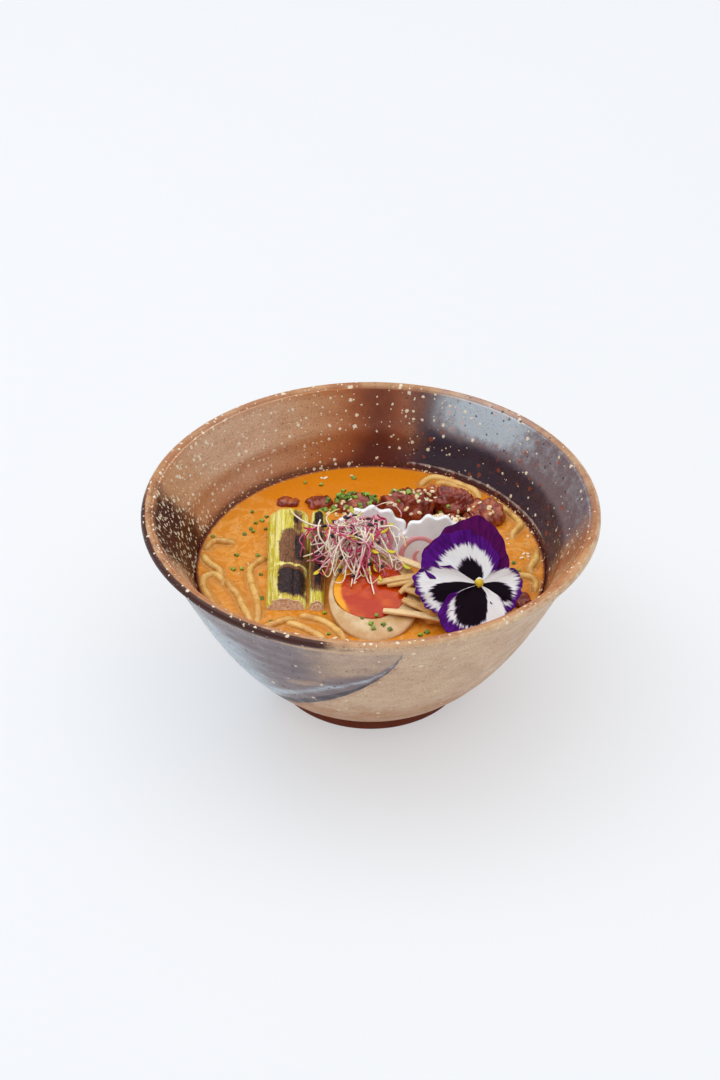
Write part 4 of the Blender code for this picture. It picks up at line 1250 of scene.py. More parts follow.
def slice_shape(place):
    """A toothed disc: radius = R - d (1 - cos n angle), with its edge rounded over its thickness."""
    turn = circle(SLICE_LOBES * 16)[None]
    lobes = SLICE_LOBE_DEPTH * (1 - np.cos(SLICE_LOBES * turn))
    around = np.radians(np.linspace(-90, 90, 9))[:, None]
    share = np.linspace(0.05, 0.93, 14)[:, None]
    shares = np.concatenate([share, 0.94 + 0.06 * np.cos(around), share[::-1]])
    height = np.concatenate([0 * share - 1, np.sin(around), 0 * share + 1]) * SLICE_HALF
    radius = (SLICE_RADIUS - lobes * step(shares, 0.4, 1.0)) * shares
    wavy = 0.12 * np.sin(turn * 3 + shares * 4) * shares
    points = round_z(radius, turn, height + wavy)
    return skin(place(points))


def swirl_shape(place):
    """A band along a spiral, radius 2.5 to 13.5 mm in 1.75 turns, that stands just proud of both faces."""
    share = np.linspace(0, 1, 120)
    angle = math.tau * 1.75 * share
    middle = 2.5 + 11 * share
    half = 1.45 * (0.35 + 0.65 * np.sin(math.pi * share) ** 0.5)
    around = circle(16)
    reach = squared(around, 5.0)
    radius = middle[:, None] + half[:, None] * (np.cos(around) * reach)[None]
    height = (np.sin(around) * reach)[None] * (SLICE_HALF + 0.24) + 0 * angle[:, None]
    points = np.stack([radius * np.cos(angle)[:, None], radius * np.sin(angle)[:, None], height], -1)
    return skin(place(points))


def build_fish_cakes(colours):
    """The two slices, each with its swirl, which is off its middle and starts at an angle of its own."""
    white = fish_cake_finish("fish_cake", colours.fish_cake)
    pink = fish_cake_finish("fish_cake_swirl", colours.swirl)
    for side, centre, spin, middle, start in FISH_CAKES:
        node = "fish_cake_" + side
        disc = slice_shape(slice_frame(centre, spin))
        make_piece(node + "_slice", disc, white, [node], 50)
        shift = tilt(SLICE_LEAN) @ np.array([*middle, 0.0])
        swirl = swirl_shape(slice_frame(centre + shift, start))
        make_piece(node + "_pink", swirl, pink, [node + "_swirl"], 60)


# Meat

MEAT = [
    # Node, centre, half sizes, turn, fat share, seed
    ("meat_main", (18.0, 38.5, 66.0), (12.8, 8.8, 9.0), 0.1, 0.1, 1),
    ("meat_dark", (39.3, 41, 66.0), (9.0, 7.6, 8.6), -0.2, 0.0, 2),
    ("meat_light", (54.0, 36.5, 63.6), (9.6, 8.6, 6.0), 0.3, 0.4, 3),
    ("meat_front", (36, 28.5, 62.5), (13, 6, 5.4), 0.0, 0.15, 4),
    ("meat_left", (-25, 49.5, 61.5), (7.2, 4.8, 3.5), 0.1, 0.15, 5),
    ("meat_far_left", (-40, 50.5, 61.0), (5.8, 4.2, 3.2), -0.1, 0.3, 6),
    ("meat_nub", (30.5, 48, 65.0), (5.2, 5.2, 7.4), 0.5, 0.5, 8),
    ("meat_right", (68.5, -28.5, 61.6), (4.8, 5.6, 3.2), 0.4, 0.2, 7),
]


def meat_finish(colours):
    """Braised meat: dark red-brown fibres under a thick glaze, with paler fat."""
    material, shader, place, field = new_finish(
        "meat", specular_ior_level=0.35, coat_weight=0.5, coat_roughness=0.12)
    strands = fibres(place, 1.1, 6.0)
    lumps = noise(place, 3.4, 4.0, 0.6)
    base = mixed(ramp(strands, 0.34, 0.6), shade(92, 22, 10), colours.meat)
    rosy = ramp(noise(place, 7.0), 0.42, 0.66)
    base = mixed(rosy * 0.55, base, shade(184, 82, 38))
    amount = lumps * 1.4 + (field("fat") - 1.0)
    base = mixed(ramp(amount, 0.0, 0.3), base, colours.fat)
    relief = strands * 0.6 + lumps * 0.9
    dress(shader, base, uneven(place, 2.5, 0.24, 0.44), relief, 0.55)
    return material


def build_meat(colours):
    """Torn chunks: superellipsoids with lumps, and finer dents that follow the grain."""
    finish = meat_finish(colours)
    for node, centre, size, yaw, fat, seed in MEAT:
        shape = ball(size, 64, 92, 2.6, 0.22, 8.0, seed, fat=fat)
        grain = waves(shape.points * (1.6, 0.8, 1.6), 3.4, seed + 20)
        torn = waves(shape.points, 5.0, seed + 40)
        shape.points *= 1 + (grain * 0.055 + torn * 0.07)[:, None]
        c, s = math.cos(yaw), math.sin(yaw)
        shape.points = shape.points @ np.array([[c, s, 0], [-s, c, 0], [0, 0, 1]]) + np.array(centre)
        make_piece("braised_" + node, shape, finish, [node], 70)


# Herbs and scattered things

def chive_finish(colours):
    """Cut chives: green, each ring in its own shade, paler in small patches."""
    material, shader, place, field = new_finish("chive", specular_ior_level=0.4)
    tone = field("tone")
    base = mixed(tone, shade(40, 70, 16), shade(142, 176, 62))
    base = mixed(ramp(tone, 0.3, 0.0, 0.0, 0.6), base, colours.chive)
    base = mixed(noise(place, 1.0, 2.0) * 0.3, base, shade(170, 190, 96))
    dress(shader, base, uneven(place, 2.0, 0.3, 0.5), fibres(place, 0.3, 2.0), 0.08)
    soft(shader, 0.15, 0.6, (0.5, 1.0, 0.2))
    return material


def sesame_finish(colours):
    """Sesame seeds, each in its own shade of cream."""
    material, shader, place, field = new_finish("sesame", specular_ior_level=0.4)
    base = mixed(field("tone"), shade(222, 186, 128), colours.sesame)
    dress(shader, base, uneven(place, 2.0, 0.35, 0.5), noise(place, 0.4, 2.0), 0.04)
    return material


def weld(shape, rings, columns):
    """Joins a ring's last row of points to its first, so that it closes on itself."""
    quads = np.where(shape.quads >= rings * columns, shape.quads - rings * columns, shape.quads)
    return Shape(shape.points[:rings * columns], quads, shape.triangles, shape.fields).outward()


def chive_ring():
    """A short hollow drum with a rounded wall, 2.6 mm across and 2.6 mm long, that lies on its side."""
    around = circle(6)
    turn = circle(10)[:, None]
    radius = 1.05 + 0.24 * np.cos(around)[None]
    length = 1.3 * np.sin(around)[None] + 0 * turn
    points = np.stack([length, radius * np.cos(turn), radius * np.sin(turn) * 0.8 + 0.4], -1)
    shape = skin(np.vstack([points, points[:1]]), capped=False)
    return weld(shape, len(turn), len(around))


def sesame_seed():
    """A drop: an ellipsoid whose width falls towards one end, 3 mm long."""
    half_length, taper, lift = 1.5, 0.28, 0.25
    seed = ball((half_length, 0.95, 0.62), 7, 10)
    seed.points[:, 1:] *= 1 - taper * seed.points[:, :1] / half_length
    seed.points[:, 2] += lift
    return seed


def build_scattered(name, base, spots, draw, below, finish, sizes):
    """Copies of a small thing, dropped on the pieces below, each with its own turn, size and tone."""
    places, normals = dropped(below, spots)
    count = len(places)
    lean = unit(normals + draw.normal(0, 0.22, (count, 3)))
    shape = copies(
        base, places, lying(lean, draw.uniform(0, math.tau, count)),
        draw.uniform(*sizes, count), draw.random(count))
    make_piece(name, shape, finish, (), 60)


LOOSE_CHIVES = [
    # Millimetres across and away, on the soup
    (-32, 67), (-24, 65), (-57, 42), (-50, 38), (-52, 35), (-60, 24), (-57, 28), (-50, 28), (-63, 7),
    (-53, 7), (-60, -4), (-64, -4), (-51, -8), (-67, 19), (-75, 22), (-50, -26), (-39, -41), (-45, -43),
    (-19, -52), (-21, -37), (67, 1), (69, -5), (-8, 71), (-55, 33), (-13, 60), (-56, 26),
]
EGG_CHIVES = [
    # The same, on the egg half
    (-4, -44.5), (2.5, -43), (0, -48), (1, -50.5), (5.5, -48.5), (8.5, -51), (22, -53), (25, -51),
]
LOOSE_SESAME = [
    # Millimetres across and away
    (-24, 71), (-22, 71), (-24, 66), (-9, 73), (77, 25), (75, 22), (65, 20), (72, 8), (74, 8), (71, 5),
    (74, 6), (75, -16), (-16, -55), (-11, -57),
]


def build_herbs(colours):
    """The pile: a mound of minced meat under chopped chives. Then loose chives and sesame seeds, the
    thickest on the meat."""
    mound = ball((10.5, 5.6, 4.6), 40, 60, 2.9, 0.16, 5.0, 9, fat=0.3)
    mound.points += (-6.5, 46.5, 63)
    make_piece("herb_mound", mound, meat_finish(colours), ["herb_pile"], 70)
    draw = np.random.default_rng(52)
    chive, sesame = chive_finish(colours), sesame_finish(colours)
    below = landing([
        "soup", "herb_mound", "grilled_leek_large", "grilled_leek_small", "egg_white_half",
        "egg_yolk_half", "fish_cake_left_slice", "fish_cake_right_slice", "bamboo_shoots",
        *("braised_" + entry[0] for entry in MEAT)])
    pile = np.vstack([
        scatter(draw, 40, (-6.5, 46.8), (12.5, 6.4)), scatter(draw, 8, (14, 40), (10, 5)),
        scatter(draw, 4, (33, 33), (8, 4)), scatter(draw, 6, (-22, 45), (8, 4)), [(32.5, -27)]])
    build_scattered("chives_on_toppings", chive_ring(), pile, draw, below, chive, (0.6, 1.1))
    loose = np.array(LOOSE_CHIVES + EGG_CHIVES, float)
    build_scattered("loose_chives", chive_ring(), loose, draw, below, chive, (0.6, 0.95))
    seeds = np.vstack([
        scatter(draw, 30, (18, 36), (12, 7)), scatter(draw, 70, (36, 28), (13, 5)),
        scatter(draw, 16, (-14, 41), (8, 4)), scatter(draw, 10, (52, 34), (7, 5)),
        scatter(draw, 10, (28, 43), (6, 4)), LOOSE_SESAME])
    build_scattered("sesame_seeds", sesame_seed(), seeds, draw, below, sesame, (0.7, 0.92))


# Bamboo shoots

STRIPS = [
    # Two ends and a width
    ((11, -11, 74.5), (25.5, -20, 74.0), 3.6),
    ((3, -26, 71.2), (24, -24, 73.0), 4.0),
    ((7.5, -27.3, 70.6), (24, -27, 72.5), 3.2),
    ((13, -32, 69.8), (20, -26.5, 72.4), 3.0),
    ((5.5, -42, 67.6), (25, -45.5, 66.8), 3.6),
    ((14.5, -36, 69.2), (26, -42.5, 67.8), 4.4),
    ((16, -30.8, 71.0), (27, -36.5, 69.8), 4.2),
]


def bamboo_finish(colours):
    """Wet bamboo shoot: tan fibres along each strip."""
    material, shader, place, field = new_finish("bamboo", specular_ior_level=0.5)
    strands = fibres(place, 6.0, 0.5)
    base = mixed(ramp(strands, 0.35, 0.7), [c * 0.8 for c in colours.bamboo], colours.bamboo)
    pale = ramp(field("tone") + noise(place, 3.0, 2.0), 0.9, 1.4)
    base = mixed(pale, base, shade(240, 208, 156))
    dress(shader, base, uneven(place, 3.0, 0.25, 0.42), strands, 0.25)
    soft(shader, 0.25, 1.5)
    return material


def build_bamboo(colours):
    """Strips: a flat superellipse profile along a slightly bowed path, tapered at its tip, laid on a
    small mound."""
    draw = np.random.default_rng(63)
    core = ball((7, 14.5, 8.4), 40, 60, 2.9, 0.12, 7.0, 12, centre=(29.5, -32, 66.2))
    count = len(core.points)
    core.fields = {"tone": np.full(count, 0.3), "along": np.zeros(count)}
    shapes = [core]
    for start, end, width in STRIPS:
        start, end = np.array(start, float), np.array(end, float)
        reach = unit(end - start)
        share = np.linspace(0, 1, 26)[:, None]
        line = start + (end + reach * 7 - start) * share
        bow = draw.uniform(-0.8, 0.8)
        across = unit(np.cross(reach, (0, 0, 1)))
        line = line + across * bow * np.sin(share * math.pi) + (0, 0, 0.5) * np.sin(share * math.pi)
        taper = 1 - 0.35 * np.exp(-share[:, 0] * 9)
        shapes.append(strip_shape(line, across, width / 2 * taper, 0.9, draw.random()))
    make_piece("bamboo_shoots", joined(shapes), bamboo_finish(colours), ["bamboo_strips"], 60)


def strip_shape(line, across, half_width, half_height, tone):
    """A flat superellipse profile along a line, its width along one given direction."""
    forward = unit(np.gradient(line, axis=0))
    up = unit(np.cross(across, forward))
    up = up * np.sign(up[:, 2:])
    angle = circle(14)
    reach = squared(angle, 4.0)
    wide = (np.cos(angle) * reach)[None, :, None] * half_width[:, None, None] * across
    high = (np.sin(angle) * reach)[None, :, None] * half_height * up[:, None]
    along = np.linspace(0, 1, len(line))[:, None]
    return skin(line[:, None] + wide + high, tone=tone, along=along)


# Sprouts

HEAP_CENTRE = np.array([-7, -2.2, 82])
HEAP_SIZE = np.array([15.5, 9.5, 7.5])
HEAP_CEILING = 90.2
LEEK_SIDE = -17
LEEK_TOP = 74
HANGING = 54
LEAVES_ON_ARCS = 26
LEAVES_HANGING = 7
SEEDS_ON_HEAP = 20
SEEDS_HANGING = 6
TRAILING = [
    # Millimetres, from the heap outwards
    [(-14, -2, 86), (-25, 6, 80), (-31, 14, 76.6), (-36, 21, 75.8), (-38, 25, 76.4)],
    [(-7, -9, 83), (-7, -16, 77), (-8, -22, 73), (-9, -28, 70.4)],
    [(-2, -9, 83), (-1, -17, 76.5), (0, -25, 72), (1.5, -33, 69.8)],
    [(4, -7, 84), (8, -13, 79), (9.5, -17, 76.5), (10, -20, 75.2)],
    [(4, -3, 86), (11, -3, 86), (15, -6, 82), (16, -9, 79)],
    [(-14, -6, 84), (-21, -9, 80), (-26, -11, 77), (-31, -12, 75.5)],
]


def sprout_finish(colours):
    """Sprout threads: white turning pink and crimson part of the way along, yellower at the tip."""
    material, shader, place, field = new_finish("sprout", specular_ior_level=0.4)
    tone = field("tone")
    drift = noise(place, 7.0, 2.0) * 1.2 - 0.6
    blush = tone + drift + field("along") * 0.35
    base = mixed(ramp(blush, 0.5, 0.85), colours.sprout, shade(226, 120, 160))
    base = mixed(ramp(blush, 0.75, 1.1), base, colours.crimson)
    yellow = ramp(tone * -1.4 + field("along"), 0.45, 0.9)
    base = mixed(yellow * 0.75, base, colours.leaf)
    put(shader, {"Base Color": base, "Roughness": uneven(place, 3.0, 0.28, 0.45)})
    return material


def thread_paths(draw, count, middle, spread, loop, points=22):
    """Loose arcs: each lies on a circle with a random middle, radius and plane, with a drift and a
    wave along it. Gives an array of count x points x 3."""
    share = np.linspace(0, 1, points)[None, :, None]
    centres = middle + draw.normal(size=(count, 1, 3)) * spread
    first = unit(draw.normal(size=(count, 1, 3)) * (1, 1, 0.6))
    second = unit(np.cross(first, draw.normal(size=(count, 1, 3))))
    radius = draw.uniform(*loop, (count, 1, 1))
    sweep = draw.uniform(1.6, 4.6, (count, 1, 1))
    angle = draw.uniform(0, math.tau, (count, 1, 1)) + sweep * share
    drift = draw.normal(size=(count, 1, 3)) * share * 3
    wobble = 0.5 * np.sin(share * draw.uniform(6, 14, (count, 1, 1)) + draw.uniform(0, 6, (count, 1, 1)))
    return centres + (first * np.cos(angle) + second * np.sin(angle)) * radius + drift + wobble


def leaf_shape():
    """A thin rounded leaf along X, 4.5 mm long, closed, with a slight trough."""
    length, half_width, half_thickness = 4.5, 1.05, 0.16
    share = np.linspace(0, 1, 9)[:, None]
    around = circle(8)[None]
    width = half_width * np.sin(math.pi * share ** 1.2) ** 0.8 + 0.03
    x = share * length + 0 * around
    y = np.cos(around) * width
    z = np.sin(around) * half_thickness + 0.3 * (y / half_width) ** 2 + 0.5 * np.sin(share * 2)
    return skin(np.stack([x, y, z], -1))


def egg_level(away, gap):
    """The height of the egg's tilted cut face at a distance away, with a gap over it."""
    return EGG_FRONT[2] + gap + (away - EGG_FRONT[1]) * math.tan(math.radians(EGG_TILT))


def hanging_paths(draw, count):
    """Threads that leave the heap and come down in front and at the sides, each a Catmull-Rom curve
    from the heap over a shoulder to a place just over the egg or the leeks, with a curl on it."""
    paths = []
    for _ in range(count):
        end_x = draw.uniform(-27, 15)
        reach = draw.uniform(-27, -11) + 0.012 * (end_x + 5) ** 2
        ground = LEEK_TOP if end_x < LEEK_SIDE else egg_level(reach, 0.6)
        end = np.array([end_x, reach, ground + draw.uniform(0.3, 3.5)])
        start = HEAP_CENTRE + draw.normal(size=3) * (5.5, 2.5, 1.5) + (0, -1, 3)
        shoulder = (start + end) / 2 + (draw.uniform(-3, 3), draw.uniform(-3.5, 0), draw.uniform(1, 4))
        tip = end + (draw.uniform(-4.5, 4.5), draw.uniform(-2.5, 2), draw.uniform(0.2, 1.6))
        line = route([start, shoulder, end, tip], 8)
        share = np.linspace(0, 1, len(line))[:, None]
        curl = draw.uniform(0.4, 1.5) * np.sin(share * draw.uniform(6, 13) + draw.uniform(0, 6))
        line = line + curl * share * (math.cos(end_x), 0.3, 0.6)
        line[:, 2] = np.maximum(line[:, 2], egg_level(line[:, 1], 1.1))
        paths.append(line)
    return paths


def sprout_leaf_finish(colours):
    """Small leaves, each between yellow and yellow-green."""
    material, shader, place, field = new_finish("sprout_leaf", roughness=0.4)
    base = mixed(field("tone"), colours.leaf, shade(206, 196, 40))
    base = mixed(noise(place, 1.5, 2.0) * 0.3, base, shade(150, 170, 40))
    put(shader, {"Base Color": base})
    return material


def sprout_seed_finish(colours):
    """Black husks, slightly mottled."""
    material, shader, place, _ = new_finish("sprout_seed")
    base = mixed(ramp(noise(place, 0.8, 2.0), 0.4, 0.8), colours.seed, shade(50, 44, 56))
    put(shader, {"Base Color": base, "Roughness": uneven(place, 1.0, 0.3, 0.5)})
    return material


def build_threads(draw, colours):
    """Loose arcs crowded round the heap's middle, hanging threads and trailing ones. Gives the paths
    of the arcs and of the hanging threads."""
    count = colours.threads
    arcs = thread_paths(draw, count, HEAP_CENTRE - (0.5, 2.0, 1.5), (7.4, 4.2, 2.3), (3.0, 8.0))
    floor = 71.5 + 0.22 * np.clip(arcs[..., 1], -30, 8)
    arcs[..., 2] = np.clip(arcs[..., 2], floor, HEAP_CEILING)
    tones = draw.random(count)
    shapes = [tube(path, draw.uniform(0.26, 0.42), 6, tone=tone) for path, tone in zip(arcs, tones)]
    hanging = hanging_paths(draw, HANGING)
    for line in hanging:
        width = np.linspace(draw.uniform(0.32, 0.42), 0.24, len(line))
        shapes.append(tube(line, width, 6, tone=draw.random() ** 1.3))
    for knots in TRAILING:
        line = route(knots, 7)
        shapes.append(tube(line, np.linspace(0.45, 0.34, len(line)), 6, tone=draw.uniform(0, 0.3)))
    make_piece("sprout_threads", joined(shapes), sprout_finish(colours), ["sprouts"])
    return arcs, hanging


def build_sprout_leaves(draw, colours, arcs, hanging):
    """Leaves at the tips of some threads, which point away from the heap's middle."""
    chosen = draw.choice(len(arcs), LEAVES_ON_ARCS, replace=False)
    tips = np.vstack([arcs[chosen, -1], [line[-1] for line in hanging[:LEAVES_HANGING]]])
    count = len(tips)
    ways = unit(tips - HEAP_CENTRE + (0, 0, 3) + draw.normal(0, 3, tips.shape))
    side = unit(np.cross(ways, (0, 0, 1)))
    turns = np.stack([ways, side, np.cross(ways, side)], -1)
    leaves = copies(
        leaf_shape(), tips - ways * 1.5, turns, draw.uniform(0.7, 1.25, count), draw.random(count))
    leaves.points[:, 2] = np.clip(leaves.points[:, 2], 66, 93)
    make_piece("sprout_leaves", leaves, sprout_leaf_finish(colours), ())


def build_sprout_seeds(draw, colours, hanging):
    """Black seeds: drops that lie over the top of the heap and at the ends of hanging threads."""
    half_length, taper = 1.6, 0.35
    husk = ball((half_length, 0.95, 0.75), 8, 12)
    husk.points[:, 1] *= 1 - taper * husk.points[:, 0] / half_length
    angle = draw.uniform(0, math.tau, SEEDS_ON_HEAP)
    rise = draw.uniform(0.0, 1.2, SEEDS_ON_HEAP)
    way = round_z(np.cos(rise), angle, np.sin(rise))
    ends = [line[-1] for line in hanging[LEAVES_HANGING:LEAVES_HANGING + SEEDS_HANGING]]
    spots = np.vstack([HEAP_CENTRE - (0, 1.5, 0) + way * HEAP_SIZE * 1.05, ends])
    way = np.vstack([way, np.tile((0, -0.5, 0.8), (SEEDS_HANGING, 1))])
    count = len(spots)
    turns = lying(way + draw.normal(0, 0.5, way.shape), draw.uniform(0, math.tau, count))
    seeds = copies(husk, spots, turns, draw.uniform(0.75, 1.05, count), draw.random(count))
    make_piece("sprout_seeds", seeds, sprout_seed_finish(colours), ())


def build_sprouts(colours):
    """The heap of sprouts: threads, yellow leaves at their tips, and black seeds."""
    draw = np.random.default_rng(17)
    arcs, hanging = build_threads(draw, colours)
    build_sprout_leaves(draw, colours, arcs, hanging)
    build_sprout_seeds(draw, colours, hanging)


# Pansy

FLOWER_CENTRE = np.array([48.5, -36, 78])
FLOWER_TILT = 32
STEM_RADIUS = 1.1
PETALS = [
    # From the back petal to the lip: the outline as directions in degrees and reaches in millimetres
    # from the eye, the dark blotch likewise, then the lift, the ripple, the violet rim's width at the
    # first and at the last direction, and 1 for the plum petal
    ([(14, 9), (34, 17), (56, 22), (69, 27), (80, 32.5), (90, 33.8), (105, 33), (120, 30.5), (145, 29.5),
      (163, 28), (176, 20)], [(60, 1), (110, 1)], -3.2, 0.6, (60, 60), 1),
    ([(34, 7), (47, 14), (68, 19), (86, 23), (100, 26.2), (115, 27.6), (131, 28.8), (150, 29), (164, 28),
      (174, 20)], [(62, 4), (87, 9), (102, 12.8), (115, 13.6), (144, 11.6), (160, 9)], -1.2, 0.8,
     (4.5, 9), 0),
    ([(238, 12), (226, 20), (214, 25), (202, 27), (190, 28.6), (176, 29.9), (166, 28.5), (158, 22),
      (148, 14)], [(240, 13), (228, 17), (210, 19.7), (197, 22), (187, 21.8), (181, 18), (172, 8)],
     0.3, 0.8, (1.4, 2.6), 0),
    ([(42, 6), (36, 12), (26, 16.5), (12, 19), (0, 19.4), (-14, 19.1), (-28, 18.8), (-42, 19.6),
      (-54, 18), (-64, 10)], [(10, 5), (4, 10), (-6, 13), (-20, 16), (-31, 16.2), (-42, 12.5), (-56, 6)],
     0.4, 0.7, (0.8, 3.4), 0),
    ([(205, 14), (216, 23), (228, 27), (240, 28), (255, 27), (270, 26.5), (285, 25.5), (300, 23),
      (312, 18), (322, 10)],
     [(206, 10), (222, 15), (232, 18), (244, 22), (258, 22), (268, 20.5), (277, 17.5), (288, 11), (304, 4)],
     1.8, 0.9, (6.5, 0.6), 0),
]


def petal_finish(colours):
    """Velvety petals: white with a violet rim and dark blotches, both feathered along the veins."""
    material, shader, _, field = new_finish("petal", roughness=0.6, specular_ior_level=0.06)
    fan = joined_axes(field("angle"), field("reach"))
    vein = fibres(fan, 0.06, 7.0)
    fine = fibres(fan, 0.022, 5.0)
    feather = vein * 9.0 - 4.5
    feather = feather + (fine * 5.0 - 2.5)
    veined = ramp(fine, 0.45, 0.7) * 0.35
    pale = mixed(veined, colours.white, shade(186, 180, 196))
    tint = mixed(ramp(field("plum"), 0.2, 0.8), colours.violet, colours.plum)
    dark = ramp(vein, 0.42, 0.62) * 0.55
    tint = mixed(dark, tint, shade(38, 0, 50))
    rim = ramp(feather * 0.8 + field("rim"), -1.4, 1.2)
    base = mixed(rim, pale, tint)
    near = ramp(feather * 0.7 + field("blotch"), -1.6, 0.2)
    base = mixed(near * 0.8, base, shade(74, 14, 92))
    blotch = ramp(feather * 0.7 + field("blotch"), -0.4, 0.6)
    base = mixed(blotch, base, colours.blotch)
    dress(shader, base, None, vein, 0.25)
    return material


def petal_shape(outline, blotch, lift, wave, rims, plum):
    """A fan from the eye: radius = out x the outline's reach in that direction, and height = lift +
    ripples that grow with out squared. Fields give polar places and how far inside each marking a
    point lies."""
    out = np.linspace(0.06, 1, 56)[:, None]
    side = np.linspace(0, 1, 96)[None]
    ways, reaches = np.array(outline, float).T
    if ways[0] > ways[-1]:
        ways, reaches = ways[::-1], reaches[::-1]
        rims = rims[::-1]
    degrees = ways[0] + (ways[-1] - ways[0]) * side
    rough = np.interp(degrees[0], ways, reaches)
    padded = np.pad(rough, 5, mode="edge")
    full = np.convolve(padded, np.ones(11) / 11, mode="valid")[None]
    angle = np.radians(degrees)
    frill = 1 + (0.016 * np.sin(side * 38 + lift * 9) + 0.010 * np.sin(side * 71)) * out ** 3
    radius = full * out * frill
    ripple = wave * np.sin(side * 14 + lift * 5) * out ** 2
    ruffle = 0.35 * np.sin(side * 38 + 2) * out ** 5
    height = lift * np.minimum(1, out * 2.5) + ripple + ruffle + 1.5 * out ** 2
    local = round_z(radius, angle, height)
    points = local @ tilt(FLOWER_TILT).T + FLOWER_CENTRE
    spots, spans = np.array(sorted(blotch), float).T
    span = np.interp(degrees, spots, spans, left=-3, right=-3)
    rim = rims[0] + (rims[1] - rims[0]) * side
    return skin(
        points, closed=False, capped=False, angle=angle, reach=radius, blotch=span - radius,
        rim=rim - (full - radius), plum=plum)


def pansy_eye_finish(colours):
    """Yellow, mottled, with a pale collar at the back."""
    material, shader, place, field = new_finish("pansy_eye", roughness=0.5)
    base = mixed(ramp(noise(place, 1.4), 0.35, 0.7), colours.eye, shade(206, 170, 20))
    base = mixed(ramp(field("collar"), 0.4, 0.8), base, shade(232, 236, 214))
    dress(shader, base, None, noise(place, 0.5, 2.0), 0.1)
    soft(shader, 0.2, 1.0)
    return material


def pansy_stem_finish():
    """Green, streaked along the stem."""
    material, shader, place, _ = new_finish("pansy_stem", roughness=0.45)
    streaks = ramp(fibres(place, 0.4, 6.0), 0.35, 0.7)
    put(shader, {"Base Color": mixed(streaks, shade(86, 120, 40), shade(132, 160, 70))})
    return material


def build_pansy(settings):
    """Five petals with Solidify's thickness, the eye between them, and a short stem behind."""
    petals = joined([petal_shape(*entry) for entry in PETALS])
    piece = make_piece("pansy_petals", petals, petal_finish(settings), ["pansy"])
    solid = piece.modifiers.new("Petal thickness", "SOLIDIFY")
    solid.thickness = settings.thickness
    solid.offset = 0

    eye = ball((2.1, 2.5, 2.2), 18, 28, 1.6, 0.1, 3.0, 4)
    eye.fields["collar"] = step(eye.points[:, 1], 0.2, 1.6)
    eye.points = (eye.points + (0, 0.6, 0.8)) @ tilt(FLOWER_TILT).T + FLOWER_CENTRE
    make_piece("pansy_eye", eye, pansy_eye_finish(settings), ())

    knots = [FLOWER_CENTRE - (0, 0, 2), FLOWER_CENTRE + (0, 5, -7), FLOWER_CENTRE + (-1, 7, -15.2)]
    stem = tube(route(knots, 8), STEM_RADIUS, 12)
    make_piece("pansy_stem", stem, pansy_stem_finish(), ())


# Stage

CAMERA_PLACE = (-0.00495, -0.78477, 0.65122)
CAMERA_DOWN = 36.229
CAMERA_LENS = 70
SENSOR = 36
KEY_PLACE = (-0.75, 0.25, 1.05)
KEY_TARGET = (0, 0, 0.06)
KEY_SIZE = 0.9
SEEN_SKY = 0.95
FLOOR_HALF = 3.0


def build_floor(settings):
    """A flat square floor of pale paper that shines a little by itself."""
    corners = [(-1, -1), (1, -1), (1, 1), (-1, 1)]
    mesh = bpy.data.meshes.new("floor")
    mesh.from_pydata([(x * FLOOR_HALF, y * FLOOR_HALF, 0) for x, y in corners], [], [(0, 1, 2, 3)])
    linked("floor", mesh)
    material, shader, place, _ = new_finish("floor", roughness=0.6, specular_ior_level=0.2)
    paper = mixed(noise(place, 180.0, 2.0), settings.floor, [c * 0.985 for c in settings.floor])
    put(shader, {
        "Base Color": paper, "Emission Color": (0.97, 0.985, 1.0), "Emission Strength": settings.glow})
    mesh.materials.append(material)


def build_sky(settings):
    """A soft sky, brightest overhead. The camera sees it at an even strength."""
    world = bpy.data.worlds.new("soft_sky")
    world.use_nodes = True
    tree = world.node_tree
    up = add(tree, "SeparateXYZ", {0: add(tree, "TexCoord", output="Generated")}, 2)
    glow = ramp(up, 0.55, 0.88, settings.sky, settings.overhead)
    seen = add(tree, "LightPath", output="Is Camera Ray")
    put(tree.nodes["Background"], {0: (0.96, 0.98, 1.0), 1: seen * (SEEN_SKY - glow) + glow})
    bpy.context.scene.world = world


def build_key(settings):
    """One large soft light from the left, aimed at the soup."""
    lamp = bpy.data.lights.new("key", "AREA")
    lamp.shape = "DISK"
    lamp.size = KEY_SIZE
    lamp.energy = settings.key
    key = linked("key", lamp)
    key.location = KEY_PLACE
    key.rotation_euler = (Vector(KEY_TARGET) - key.location).to_track_quat("-Z", "Y").to_euler()


def build_camera():
    """The camera, where the photo was taken from."""
    view = bpy.data.cameras.new("camera")
    view.lens = CAMERA_LENS
    view.sensor_width = SENSOR
    camera = linked("camera", view)
    camera.location = CAMERA_PLACE
    camera.rotation_euler = (math.radians(90 - CAMERA_DOWN), 0, 0)
    bpy.context.scene.camera = camera
    bpy.context.scene.view_settings.view_transform = "Standard"


# Operators

class RAMEN_OT_stage(bpy.types.Operator):
    """Add the floor, the lights and the camera"""
    bl_idname = "ramen.stage"
    bl_label = "Stage"

    def execute(self, context):
        build_floor(context.scene.ramen_stage)
        build_sky(context.scene.ramen_stage)
        build_key(context.scene.ramen_stage)
        build_camera()
        return {"FINISHED"}


class RAMEN_OT_bowl(bpy.types.Operator):
    """Add the glazed stoneware bowl"""
    bl_idname = "ramen.bowl"
    bl_label = "Bowl"

    def execute(self, context):
        build_bowl(context.scene.ramen_bowl)
        return {"FINISHED"}


